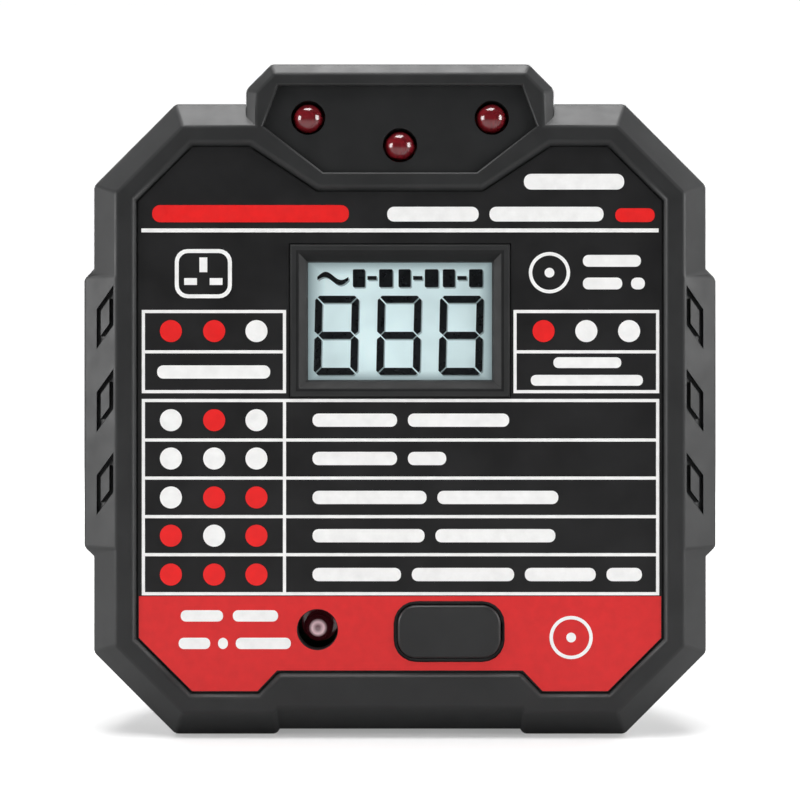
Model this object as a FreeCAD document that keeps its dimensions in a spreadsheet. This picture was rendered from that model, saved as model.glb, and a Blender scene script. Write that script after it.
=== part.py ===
import FreeCAD, Part
import math
import os

import Sketcher
from FreeCAD import Placement, Rotation, Vector

# Socket tester with a three-pin plug, in millimetres.
# The origin is the centre of the plug's contact face. The pins point along +Y,
# the display faces -Y, +X is to the right seen from the front and +Z is up.

DIMENSIONS = {
    "planes along the depth, zero at the plug face": {
        "front_y": -36.2,
        "panel_y": -35.5,
        "head_panel_y": -35.6,
        "cover_inside_y": -34.0,
        "bevel_y": -33.5,
        "parting_y": -31.8,
        "lip_end_y": -30.0,
        "crease_y": -21.3,
        "cavity_rear_y": -13.5,
        "rear_y": -11.4,
        "boss_bevel_y": -1.5,
        "boss_rim_y": -0.3,
    },
    "casing walls and gaps": {
        "wall": 2.1,
        "bevel": 2.75,
        "seam": 0.15,
        "lip_inset": 1.05,
        "lip_gap": 0.05,
        "past": 1.0,
        "crease_radius": 38.0,
        "bury": 0.5,
    },
    "casing outline at the rim, at the crease and at the rear face": {
        "rim_side": 31.6,
        "rim_top": 31.1,
        "rim_bottom": 33.9,
        "rim_corner": 8.4,
        "crease_side": 30.3,
        "crease_top": 29.6,
        "crease_bottom": 32.3,
        "crease_corner": 7.6,
        "rear_side": 23.5,
        "rear_top": 24.3,
        "rear_bottom": 26.4,
        "rear_corner": 4.5,
    },
    "hollow behind the wall": {
        "hollow_rim_bottom": 30.9,
        "hollow_crease_bottom": 28.7,
        "hollow_rear_side": 22.5,
        "hollow_rear_top": 23.0,
        "hollow_rear_bottom": 23.2,
        "hollow_rear_corner": 3.8,
    },
    "side grip bulges": {
        "bulge_z": -0.75,
        "bulge_corner": 3.0,
        "bulge_rim_rise": 1.0,
        "bulge_crease_rise": 1.1,
        "bulge_rear_rise": 1.4,
        "bulge_rim_flat": 13.85,
        "bulge_crease_flat": 12.9,
        "bulge_rear_flat": 11.6,
        "grip_depth": 0.5,
        "grip_groove": 0.42,
        "grip_pitch": 8.5,
        "grip_z": 0.5,
        "grip_inner_x": 29.15,
        "grip_outer_x": 31.05,
        "grip_half_height": 1.98,
        "grip_slant": 1.15,
        "ring_depth": 0.75,
        "ring_low_y": -26.7,
        "ring_high_y": -14.1,
        "ring_low_z": -8.6,
        "ring_high_z": 6.4,
        "ring_width": 1.45,
        "ring_radius": 1.9,
        "ring_inner_radius": 0.9,
    },
    "lamp head": {
        "head_foot_z": 15.0,
        "head_bevel": 1.2,
        "head_rim_side": 15.8,
        "head_rim_top": 34.9,
        "head_rim_corner": 2.6,
        "head_crease_side": 14.5,
        "head_crease_top": 33.1,
        "head_crease_corner": 2.3,
        "head_rear_side": 10.0,
        "head_rear_top": 26.0,
        "head_rear_corner": 1.7,
        "hollow_head_side": 8.6,
        "hollow_head_top": 25.1,
        "hollow_head_corner": 1.2,
        "head_panel_top_x": 12.4,
        "head_panel_top_z": 32.5,
        "head_panel_wide_x": 13.9,
        "head_panel_wide_z": 28.4,
        "head_panel_low_x": 7.8,
        "head_panel_low_z": 23.7,
    },
    "foot notch": {
        "notch_rim": 33.4,
        "notch_crease": 30.9,
        "notch_rear": 23.6,
        "notch_rim_half": 12.4,
        "notch_crease_half": 12.8,
        "notch_rear_half": 13.3,
        "notch_slope": 0.7,
        "notch_drop": 5.0,
    },
    "front panel": {
        "panel_side": 26.7,
        "panel_top": 26.35,
        "panel_shoulder_z": 20.8,
        "panel_top_outer_x": 21.15,
        "panel_top_inner_x": 15.3,
        "panel_dip_x": 8.4,
        "panel_dip_z": 21.8,
        "panel_bottom": 29.2,
        "panel_foot_z": 23.7,
        "panel_foot_outer_x": 21.2,
        "panel_foot_inner_x": 14.4,
        "panel_step_x": 12.4,
        "panel_step_z": 27.1,
        "panel_lip": 0.45,
        "label_gap": 0.1,
        "label_thickness": 0.3,
    },
    "plug boss": {
        "boss_side": 22.1,
        "boss_top": 21.6,
        "boss_corner": 6.9,
        "boss_bevel": 1.2,
        "boss_draft": 0.4,
        "boss_root": 1.5,
        "boss_cove": 1.2,
    },
    "pin carrier": {
        "plate_side": 19.15,
        "plate_top": 18.7,
        "plate_corner": 5.0,
        "plate_gap": 0.3,
        "plate_thickness": 3.0,
        "carrier_wall": 1.2,
        "carrier_deep_y": -19.0,
        "ear_y": -17.4,
        "ear_x": 21.9,
        "ear_end_x": 24.1,
        "ear_z": 8.0,
        "ear_half": 3.0,
        "column_radius": 2.35,
        "column_gap": 0.05,
        "post_radius": 2.3,
        "post_x": 12.5,
        "post_z": 3.0,
        "retainer_inset": 1.6,
        "retainer_thickness": 1.6,
        "slot_gap": 0.2,
    },
    "plug pins": {
        "pin_side_x": 11.115,
        "pin_z": 11.115,
        "line_width": 6.35,
        "line_height": 3.975,
        "line_length": 17.7,
        "earth_width": 4.0,
        "earth_height": 8.0,
        "earth_length": 22.73,
        "tip_length": 2.4,
        "tip_inset": 1.1,
        "shoulder_height": 0.8,
        "shoulder_inset": 0.55,
        "line_root_width": 8.6,
        "line_root_height": 6.3,
        "earth_root_width": 7.2,
        "earth_root_height": 11.0,
        "pin_gap": 0.02,
        "collar_edge": 0.7,
        "collar_height": 1.6,
        "tail_width": 3.0,
        "tail_thickness": 0.8,
        "tail_end_y": -9.5,
        "tail_hole_y": -8.0,
        "tail_hole_radius": 0.6,
    },
    "display": {
        "view_side": 9.4,
        "view_low_z": 2.6,
        "view_high_z": 14.6,
        "view_z": 8.6,
        "frame_y": -36.0,
        "frame_rim": 1.8,
        "frame_slope": 1.05,
        "frame_sill_y": -35.1,
        "window_lap": 0.9,
        "window_front_y": -34.9,
        "window_gap": 0.1,
        "cell_side": 11.2,
        "cell_half": 8.3,
        "cell_front_y": -33.95,
        "cell_rear_y": -31.15,
        "cell_gap": 0.05,
        "holder_side": 12.6,
        "holder_half": 9.7,
        "diffuser_side": 9.9,
        "diffuser_half": 6.0,
        "strip_side": 10.4,
        "strip_low": 6.7,
        "strip_high": 7.9,
    },
    "lamps": {
        "lamp_side_x": 9.35,
        "lamp_side_z": 29.3,
        "lamp_mid_z": 26.5,
        "lamp_tip_y": -36.2,
        "lamp_radius": 1.5,
        "lamp_dome": 1.45,
        "lamp_length": 5.3,
        "lamp_flange": 1.0,
        "lamp_flange_radius": 1.9,
        "lamp_hole_radius": 1.75,
        "leg_pitch": 1.27,
        "leg_half": 0.25,
        "leg_end_y": -25.2,
        "fault_x": -8.4,
        "fault_z": -22.8,
        "fault_tip_y": -34.7,
        "fault_hole_radius": 2.05,
    },
    "test button and its switch": {
        "button_x": 5.0,
        "button_z": -23.0,
        "button_width": 10.5,
        "button_height": 5.4,
        "button_radius": 1.9,
        "button_front_y": -36.15,
        "button_edge": 0.35,
        "button_gap": 0.1,
        "label_button_gap": 0.4,
        "button_rest_gap": 0.03,
        "button_flange": 1.0,
        "button_flange_rear_y": -33.1,
        "button_stem_radius": 2.0,
        "button_stem_y": -32.35,
        "switch_half": 3.0,
        "switch_well_radius": 2.5,
        "switch_well_y": -29.2,
        "switch_top_y": -31.0,
        "switch_cover_y": -31.3,
        "switch_hole_radius": 1.8,
        "plunger_radius": 1.7,
        "plunger_front_y": -32.3,
        "plunger_flange_radius": 2.2,
        "plunger_flange_y": -30.85,
        "plunger_under_y": -30.05,
        "plunger_nub_radius": 0.6,
        "plunger_nub_y": -29.76,
        "dome_crown_y": -29.72,
        "dome_shoulder_y": -29.6,
        "dome_foot_y": -29.2,
        "dome_gauge": 0.1,
        "dome_shoulder_radius": 1.3,
        "dome_radius": 2.1,
        "terminal_pitch": 2.25,
        "terminal_thickness": 0.3,
        "terminal_half_width": 0.35,
        "terminal_top_y": -29.0,
        "terminal_end_y": -25.6,
    },
    "board": {
        "board_front_y": -28.0,
        "board_rear_y": -26.4,
        "board_side": 26.4,
        "board_top": 24.0,
        "board_bottom": 28.4,
        "board_corner": 4.5,
        "tab_side": 12.0,
        "tab_top": 31.0,
        "hole_radius": 0.5,
        "board_post_x": 21.5,
        "board_post_top_z": 19.0,
        "board_post_low_z": -23.0,
        "board_post_radius": 2.6,
        "board_post_floor_y": -33.0,
    },
    "screws": {
        "screw_radius": 1.1,
        "screw_head_radius": 1.9,
        "screw_head_height": 1.3,
        "screw_point": 0.9,
        "screw_point_radius": 0.37,
        "pilot_radius": 1.12,
        "clear_radius": 1.3,
        "recess_length": 2.2,
        "recess_width": 0.5,
        "recess_depth": 0.7,
        "board_screw_length": 4.5,
        "carrier_screw_length": 5.6,
        "carrier_pilot_y": -12.9,
        "retainer_screw_length": 4.0,
        "retainer_pilot_y": -1.6,
    },
    "snap joints between the casing halves": {
        "snap_z": -1.0,
        "snap_pitch": 11.0,
        "snap_half": 2.5,
        "snap_inner_x": 26.9,
        "snap_outer_x": 28.1,
        "snap_barb_x": 28.95,
        "snap_catch_y": -28.0,
        "snap_end_y": -26.5,
        "ledge_inner_x": 28.3,
        "ledge_outer_x": 29.4,
        "ledge_front_y": -29.8,
        "ledge_rear_y": -28.1,
    },
    "electronics": {
        "part_leg_radius": 0.35,
        "part_wire_radius": 0.4,
        "part_leg_tip_y": -27.9,
        "load_x": 0.0,
        "load_z": -17.6,
        "load_radius": 2.6,
        "load_half": 7.5,
        "load_span": 9.5,
        "fuse_x": -21.5,
        "fuse_z": 2.0,
        "fuse_radius": 1.6,
        "fuse_half": 4.5,
        "fuse_span": 6.5,
        "diode_x": 12.5,
        "diode_z": 8.0,
        "diode_pitch": 3.4,
        "diode_radius": 1.35,
        "diode_half": 2.6,
        "diode_span": 4.4,
        "film_x": 0.0,
        "film_z": -2.0,
        "film_half_width": 6.5,
        "film_half_depth": 3.0,
        "film_far_y": -14.5,
        "film_span": 5.0,
        "drum_x": -11.0,
        "drum_z": 11.0,
        "drum_radius": 4.0,
        "drum_far_y": -15.0,
        "drum_edge": 0.6,
        "drum_span": 1.75,
        "triac_x": 3.0,
        "triac_z": -12.5,
        "triac_radius": 2.3,
        "triac_flat": 1.0,
        "triac_near_y": -24.9,
        "triac_far_y": -20.3,
        "triac_span": 1.27,
        "part_lift_y": -26.3,
        "chip_x": -4.0,
        "chip_z": -10.0,
        "chip_half_width": 5.0,
        "chip_half_height": 2.0,
        "chip_near_y": -28.15,
        "chip_far_y": -29.75,
        "chip_leg_pitch": 1.27,
        "chip_leg_half": 0.2,
        "chip_leg_reach": 3.0,
        "chip_leg_rise_y": -28.9,
        "chip_leg_gauge": 0.15,
    },
    "leads from the pins to the board": {
        "lead_radius": 0.75,
        "lead_start_y": -9.55,
        "lead_bend_y": -13.0,
        "lead_level_y": -20.0,
        "lead_end_y": -26.38,
        "lead_shift": 2.6,
        "earth_lead_shift": 1.3,
    },
}

CHAMFER_SHARE = 2 - math.sqrt(2)
UPRIGHT = Rotation(Vector(1, 0, 0), 90)
SIDEWAYS = Rotation(Vector(1, 1, 1), 120)
ALONG = {
    "x": Rotation(Vector(0, 1, 0), 90),
    "y": Rotation(Vector(1, 0, 0), -90),
    "z": Rotation(),
}
SIDES = (1, -1)
COVE_STEPS = 5
DIODE_COUNT = 4
CHIP_LEG_ROWS = 8
PARALLEL = 0.999
SAME_PLACE = 0.01

doc = FreeCAD.newDocument("outlet_tester_plug")


# ---------------------------------------------------------------- the sheet


def make_sheet():
    """One row for each driving dimension, its name being the alias of its number."""
    sheet = doc.addObject("Spreadsheet::Sheet", "Size")
    row = 0
    for heading, amounts in DIMENSIONS.items():
        row += 1
        sheet.set(f"A{row}", heading)
        for name, amount in amounts.items():
            row += 1
            sheet.set(f"A{row}", name)
            sheet.set(f"B{row}", str(amount))
            sheet.setAlias(f"B{row}", name)
    doc.recompute()
    return sheet


sheet = make_sheet()
pieces = []
board_holes = []


def piece(shape_object, label):
    """Name a finished sub-part after its node and keep it for writing."""
    shape_object.Label = label
    pieces.append(shape_object)
    return shape_object


# ------------------------------------------------------- sketches and solids


def bind_corner(sketch, index, across, up):
    """Tie the start point of a sketch line to two sheet expressions."""
    for kind, expression in (("DistanceX", across), ("DistanceY", up)):
        name = sketch.addConstraint(Sketcher.Constraint(kind, index, 1, 1.0))
        sketch.setExpression(f"Constraints[{name}]", expression)


def draw_polygon(sketch, corners):
    """Closed polygon whose corners are pairs of sheet expressions."""
    count = len(corners)
    turn = 2 * math.pi / count
    seeds = [Vector(math.cos(turn * i), math.sin(turn * i), 0) for i in range(count)]
    for i in range(count):
        sketch.addGeometry(Part.LineSegment(seeds[i], seeds[(i + 1) % count]))
    for i in range(count):
        sketch.addConstraint(Sketcher.Constraint("Coincident", i, 2, (i + 1) % count, 1))
    for i, (across, up) in enumerate(corners):
        bind_corner(sketch, i, across, up)


def polygon(label, corners, y=None, x=None):
    """Free polygon: upright (x, z) at a depth y, sideways (y, z) at x, else flat (x, y)."""
    sketch = doc.addObject("Sketcher::SketchObject", label)
    draw_polygon(sketch, corners)
    if y is not None:
        sketch.Placement = Placement(Vector(), UPRIGHT)
        sketch.setExpression("Placement.Base.y", y)
    elif x is not None:
        sketch.Placement = Placement(Vector(), SIDEWAYS)
        sketch.setExpression("Placement.Base.x", x)
    return sketch


def extrude(label, sketch, direction, length):
    """Solid swept from a closed sketch along a direction."""
    solid = doc.addObject("Part::Extrusion", label)
    solid.Base = sketch
    solid.DirMode = "Custom"
    solid.Dir = direction
    solid.Solid = True
    solid.setExpression("LengthFwd", length)
    return solid


def loft(label, sections):
    """Solid with flat facets between sketches of equal corner count."""
    solid = doc.addObject("Part::Loft", label)
    solid.Sections = sections
    solid.Solid = True
    solid.Ruled = True
    return solid


def box(label, x, y, z):
    """Block between two expressions on each axis."""
    block = doc.addObject("Part::Box", label)
    for side, axis, (low, high) in zip(("Length", "Width", "Height"), "xyz", (x, y, z)):
        block.setExpression(side, f"({high}) - ({low})")
        block.setExpression(f"Placement.Base.{axis}", low)
    return block


def set_base(solid, x, y, z):
    """Bind the place of an object's own origin."""
    for axis, expression in zip("xyz", (x, y, z)):
        solid.setExpression(f"Placement.Base.{axis}", expression)


def rod(label, radius, start, length, axis="y"):
    """Round bar from a start point along one axis."""
    solid = doc.addObject("Part::Cylinder", label)
    solid.Placement = Placement(Vector(), ALONG[axis])
    solid.setExpression("Radius", radius)
    solid.setExpression("Height", length)
    set_base(solid, *start)
    return solid


def fuse(label, solids):
    """Union of several solids."""
    union = doc.addObject("Part::MultiFuse", label)
    union.Shapes = solids
    union.Refine = True
    return union


def common(label, solids):
    """Space shared by several solids."""
    shared = doc.addObject("Part::MultiCommon", label)
    shared.Shapes = solids
    shared.Refine = True
    return shared


def cut(label, base, tools):
    """Base less its tools."""
    difference = doc.addObject("Part::Cut", label)
    difference.Base = base
    difference.Tool = tools[0] if len(tools) == 1 else fuse(f"{label}_tools", tools)
    difference.Refine = True
    return difference


def group(label, solids):
    """Several separate solids that are one node."""
    bundle = doc.addObject("Part::Compound", label)
    bundle.Links = solids
    return bundle


def new_body(label, base=None):
    """PartDesign body, its own origin bound to a place when one is given."""
    body = doc.addObject("PartDesign::Body", label)
    if base:
        set_base(body, *base)
    return body


def sketch_in(body, role, label):
    """Sketch on one of the body's own origin planes."""
    sketch = body.newObject("Sketcher::SketchObject", label)
    planes = [item for item in body.Origin.OriginFeatures if item.Role == role]
    sketch.AttachmentSupport = [(planes[0], "")]
    sketch.MapMode = "FlatFace"
    return sketch


def round_edges(body, feature, wanted, radius):
    """Fillet on the edges of the last feature that pass a test."""
    doc.recompute()
    fillet = body.newObject("PartDesign::Fillet", f"{feature.Name}_round")
    names = [f"Edge{i}" for i, edge in enumerate(feature.Shape.Edges, 1) if wanted(edge)]
    fillet.Base = (feature, names)
    fillet.setExpression("Radius", radius)
    body.Tip = fillet
    return fillet


def along_y(edge):
    """True for a straight edge that runs along the depth axis."""
    direction = edge.tangentAt(edge.FirstParameter)
    return edge.Curve.TypeId == "Part::GeomLine" and abs(direction.y) > PARALLEL


def rectangle(x, z, width, height):
    """Corner expressions of an upright rectangle about a centre."""
    return [
        (f"{x} + ({width}) / 2", f"{z} + ({height}) / 2"),
        (f"{x} - ({width}) / 2", f"{z} + ({height}) / 2"),
        (f"{x} - ({width}) / 2", f"{z} - ({height}) / 2"),
        (f"{x} + ({width}) / 2", f"{z} - ({height}) / 2"),
    ]


def rounded_block(label, corners, y, radius):
    """Upright polygon padded between two depths, with rounded upright corners."""
    body = new_body(label, ("0", y[0], "0"))
    sketch = sketch_in(body, "XZ_Plane", f"{label}_outline")
    draw_polygon(sketch, corners)
    pad = body.newObject("PartDesign::Pad", f"{label}_pad")
    pad.Profile = sketch
    pad.Reversed = True
    pad.setExpression("Length", f"({y[1]}) - ({y[0]})")
    round_edges(body, pad, along_y, radius)
    return body


def turned(label, profile, x, z):
    """Body of revolution about a line along the depth axis through (x, z)."""
    body = new_body(label, (x, "0", z))
    sketch = sketch_in(body, "XY_Plane", f"{label}_profile")
    draw_polygon(sketch, profile)
    turn = body.newObject("PartDesign::Revolution", f"{label}_turn")
    turn.Profile = sketch
    turn.ReferenceAxis = (sketch, ["V_Axis"])
    turn.Angle = 360
    body.Tip = turn
    return body


def octagon(label, y, outline, inset="0"):
    """Rectangle with four cut corners, its walls moved in by an inset."""
    side = f"({outline['side']} - ({inset}))"
    top = f"({outline['top']} - ({inset}))"
    bottom = f"(-({outline['bottom']}) + ({inset}))"
    leg = f"({outline['corner']} - {CHAMFER_SHARE:.4f} * ({inset}))"
    corners = [
        (side, f"{top} - {leg}"),
        (f"{side} - {leg}", top),
        (f"-{side} + {leg}", top),
        (f"-{side}", f"{top} - {leg}"),
        (f"-{side}", f"{bottom} + {leg}"),
        (f"-{side} + {leg}", bottom),
        (f"{side} - {leg}", bottom),
        (side, f"{bottom} + {leg}"),
    ]
    return polygon(label, corners, y=y)


def octagon_loft(label, stations):
    """Faceted solid through octagons given as (depth, outline, inset)."""
    sections = []
    for number, (y, outline, inset) in enumerate(stations, 1):
        sections.append(octagon(f"{label}_section_{number}", y, outline, inset))
    return loft(label, sections)


# --------------------------------------------------------- casing outlines


def casing_outline(station):
    """Outline of the casing at the rim, the crease or the rear face."""
    return {name: f"Size.{station}_{name}" for name in ("side", "top", "bottom", "corner")}


def bulge_outline(station):
    """Outline of the side bulges at one station."""
    return {
        "side": f"(Size.{station}_side + Size.bulge_{station}_rise)",
        "top": f"(Size.bulge_z + Size.bulge_{station}_flat + Size.bulge_corner)",
        "bottom": f"(-Size.bulge_z + Size.bulge_{station}_flat + Size.bulge_corner)",
        "corner": "Size.bulge_corner",
    }


def head_outline(station):
    """Outline of the lamp head at one station, its foot hidden in the casing."""
    return {
        "side": f"Size.head_{station}_side",
        "top": f"Size.head_{station}_top",
        "bottom": "-Size.head_foot_z",
        "corner": f"Size.head_{station}_corner",
    }


HOLLOW_RIM = {**casing_outline("rim"), "bottom": "(Size.hollow_rim_bottom + Size.wall)"}
HOLLOW_CREASE = {**casing_outline("crease"), "bottom": "(Size.hollow_crease_bottom + Size.wall)"}
HOLLOW_REAR = {
    name: f"Size.hollow_rear_{name}" for name in ("side", "top", "bottom", "corner")
}
HEAD_HOLLOW_REAR = {
    "side": "Size.hollow_head_side",
    "top": "Size.hollow_head_top",
    "bottom": "-Size.head_foot_z",
    "corner": "Size.hollow_head_corner",
}
BOSS_OUTLINE = {
    "side": "Size.boss_side",
    "top": "Size.boss_top",
    "bottom": "Size.boss_top",
    "corner": "Size.boss_corner",
}
PLATE_OUTLINE = {
    "side": "Size.plate_side",
    "top": "Size.plate_top",
    "bottom": "Size.plate_top",
    "corner": "Size.plate_corner",
}


def facet_prism(label, angle, distances, radius):
    """
    Wide prism whose outer wall follows three distances from the depth axis.

    The distances belong to the seam, the crease and the rear face, and the wall
    is rounded at the crease. The angle turns it from +X towards +Z.
    """
    body = new_body(label)
    sketch = sketch_in(body, "XY_Plane", f"{label}_profile")
    rim, crease, rear = distances
    reach = "(2 * Size.rim_bottom)"
    start = "Size.parting_y + Size.seam"
    profile = [
        (f"-{reach}", start),
        (rim, start),
        (crease, "Size.crease_y"),
        (rear, "Size.rear_y"),
        (f"-{reach}", "Size.rear_y"),
    ]
    draw_polygon(sketch, profile)
    pad = body.newObject("PartDesign::Pad", f"{label}_pad")
    pad.Profile = sketch
    pad.SideType = "Symmetric"
    pad.setExpression("Length", f"2 * {reach}")
    if radius:
        doc.recompute()
        crease_point = Vector(sketch.Geometry[2].StartPoint)

        def on_crease(edge):
            middle = edge.CenterOfMass
            away = abs(middle.x - crease_point.x) + abs(middle.y - crease_point.y)
            return away < SAME_PLACE

        round_edges(body, pad, on_crease, radius)
    body.Placement = Placement(Vector(), Rotation(Vector(0, 1, 0), -angle))
    return body


def diagonal(outline, low=False):
    """Distance from the depth axis to the 45 degree facet of an outline."""
    end = outline["bottom"] if low else outline["top"]
    return f"({outline['side']} + {end} - {outline['corner']}) / sqrt(2)"


def crease_solid(label, outlines):
    """Casing form behind the seam: flat sides and rounded top, bottom and corners."""
    radius = "Size.crease_radius"
    walls = [
        (0, [outline["side"] for outline in outlines], None),
        (45, [diagonal(outline) for outline in outlines], radius),
        (90, [outline["top"] for outline in outlines], radius),
        (135, [diagonal(outline) for outline in outlines], radius),
        (180, [outline["side"] for outline in outlines], None),
        (225, [diagonal(outline, low=True) for outline in outlines], radius),
        (270, [outline["bottom"] for outline in outlines], radius),
        (315, [diagonal(outline, low=True) for outline in outlines], radius),
    ]
    prisms = []
    for angle, distances, rounding in walls:
        prisms.append(facet_prism(f"{label}_{angle}", angle, distances, rounding))
    return common(label, prisms)


def head_solid(label):
    """Rear half of the lamp head, rounded over its top crease."""
    outlines = [head_outline(station) for station in ("rim", "crease", "rear")]
    radius = "Size.crease_radius"
    walls = [
        (0, [outline["side"] for outline in outlines], None),
        (45, [diagonal(outline) for outline in outlines], radius),
        (90, [outline["top"] for outline in outlines], radius),
        (135, [diagonal(outline) for outline in outlines], radius),
        (180, [outline["side"] for outline in outlines], None),
    ]
    prisms = []
    for angle, distances, rounding in walls:
        prisms.append(facet_prism(f"{label}_{angle}", angle, distances, rounding))
    foot = box(
        f"{label}_foot",
        ("-Size.rim_side", "Size.rim_side"),
        ("Size.parting_y", "Size.rear_y"),
        ("Size.head_foot_z", "2 * Size.rim_bottom"),
    )
    return common(label, prisms + [foot])


def notch_trough(label, stations):
    """Trough between the feet through stations of (depth, half width, roof height)."""
    drop = "Size.notch_drop"
    sections = []
    for number, (y, half, roof) in enumerate(stations, 1):
        foot = f"({half} + Size.notch_slope * {drop})"
        corners = [
            (foot, f"-({roof}) - {drop}"),
            (half, f"-({roof})"),
            (f"-({half})", f"-({roof})"),
            (f"-{foot}", f"-({roof}) - {drop}"),
        ]
        sections.append(polygon(f"{label}_section_{number}", corners, y=y))
    return loft(label, sections)


# ------------------------------------------------------------- front cover


def panel_corners(gap):
    """Outline of the front panel, drawn in by a gap, clockwise from the top right."""
    mitre = math.tan(math.pi / 8)
    dip_mitre = -0.35
    half = [
        ("panel_dip_x", dip_mitre, "panel_dip_z", 1, 1),
        ("panel_top_inner_x", dip_mitre, "panel_top", 1, 1),
        ("panel_top_outer_x", mitre, "panel_top", 1, 1),
        ("panel_side", 1, "panel_shoulder_z", mitre, 1),
        ("panel_side", 1, "panel_foot_z", mitre, -1),
        ("panel_foot_outer_x", mitre, "panel_bottom", 1, -1),
        ("panel_foot_inner_x", dip_mitre, "panel_bottom", 1, -1),
        ("panel_step_x", dip_mitre, "panel_step_z", 1, -1),
    ]
    right = []
    for x, share_x, z, share_z, sign in half:
        across = f"Size.{x} - {share_x:.6f} * {gap}"
        up = f"{sign} * (Size.{z} - {share_z:.6f} * {gap})"
        right.append((across, up))
    left = [(f"-({x})", z) for x, z in reversed(right)]
    return right + left


def head_panel_corners():
    """Outline of the shallow recess round the three lamps."""
    half = [("top_x", "top_z"), ("wide_x", "wide_z"), ("low_x", "low_z")]
    right = [(f"Size.head_panel_{x}", f"Size.head_panel_{z}") for x, z in half]
    left = [(f"-({x})", z) for x, z in reversed(right)]
    return right + left


def view_rectangle(extra):
    """Display opening grown by an extra on every side."""
    width = f"2 * (Size.view_side + {extra})"
    height = f"Size.view_high_z - Size.view_low_z + 2 * ({extra})"
    return rectangle("0", "Size.view_z", width, height)


def button_outline(extra):
    """Outline of the test button grown by an extra on every side."""
    return rectangle(
        "Size.button_x",
        "Size.button_z",
        f"Size.button_width + 2 * ({extra})",
        f"Size.button_height + 2 * ({extra})",
    )


LAMPS = {
    "neutral_led": ("-Size.lamp_side_x", "Size.lamp_side_z"),
    "earth_led": ("0", "Size.lamp_mid_z"),
    "live_led": ("Size.lamp_side_x", "Size.lamp_side_z"),
}
BOARD_POSTS = [
    (f"{side} * Size.board_post_x", f"Size.board_post_{level}_z")
    for side in SIDES
    for level in ("top", "low")
]
SNAP_PLACES = [
    (side, f"Size.snap_z + {level} * Size.snap_pitch") for side in SIDES for level in SIDES
]
EAR_PLACES = [
    (f"{side} * Size.ear_x", f"{level} * Size.ear_z") for side in SIDES for level in SIDES
]
RETAINER_PLACES = [(f"{side} * Size.post_x", "Size.post_z") for side in SIDES]


def front_bulge(label, inset):
    """Front part of the side bulges, shrunk by an inset."""
    rim = bulge_outline("rim")
    face = {**rim, "side": "(Size.rim_side - Size.bevel)"}
    return octagon_loft(
        label,
        [
            ("Size.parting_y", rim, inset),
            ("Size.bevel_y", rim, inset),
            (f"Size.front_y + {inset}", face, inset),
        ],
    )


def grip_prism(label, side, z, inset):
    """Slanted four-sided prism through the bevel of a bulge, drawn in by an inset."""
    fall = "(2 * Size.grip_slant / (Size.grip_outer_x - Size.grip_inner_x))"
    near = f"{side} * (Size.grip_inner_x + {inset})"
    far = f"{side} * (Size.grip_outer_x - {inset})"
    tilt = f"(Size.grip_slant - {fall} * {inset})"
    half = f"(Size.grip_half_height - {inset} * sqrt(1 + {fall} ^ 2))"
    corners = [
        (near, f"{z} + {tilt} + {half}"),
        (far, f"{z} - {tilt} + {half}"),
        (far, f"{z} - {tilt} - {half}"),
        (near, f"{z} + {tilt} - {half}"),
    ]
    sketch = polygon(f"{label}_outline", corners, y="Size.front_y - Size.past")
    return extrude(label, sketch, Vector(0, 1, 0), "Size.bevel_y - Size.front_y + 2 * Size.past")


def grip_grooves():
    """Slanted four-sided grooves in the bevel of the bulges, three on each side."""
    bands = []
    for side in SIDES:
        for step in (-1, 0, 1):
            z = f"(Size.grip_z + {step} * Size.grip_pitch)"
            label = f"grip_{'right' if side > 0 else 'left'}_{step + 2}"
            outer = grip_prism(f"{label}_outer", side, z, "0")
            island = grip_prism(f"{label}_island", side, z, "Size.grip_groove")
            bands.append(cut(label, outer, [island]))
    floor = front_bulge("grip_floor", "Size.grip_depth")
    return cut("grip_grooves", fuse("grip_bands", bands), [floor])


def snap_arm(number, side, z):
    """Sprung arm with an outward barb that catches behind a ledge of the housing."""
    corners = [
        (f"{side} * Size.snap_inner_x", "Size.cover_inside_y - Size.bury"),
        (f"{side} * Size.snap_outer_x", "Size.cover_inside_y - Size.bury"),
        (f"{side} * Size.snap_outer_x", "Size.snap_catch_y"),
        (f"{side} * Size.snap_barb_x", "Size.snap_catch_y"),
        (f"{side} * Size.snap_outer_x", "Size.snap_end_y"),
        (f"{side} * Size.snap_inner_x", "Size.snap_end_y"),
    ]
    sketch = polygon(f"snap_arm_{number}_profile", corners)
    sketch.setExpression("Placement.Base.z", f"{z} - Size.snap_half")
    return extrude(f"snap_arm_{number}", sketch, Vector(0, 0, 1), "2 * Size.snap_half")


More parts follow.
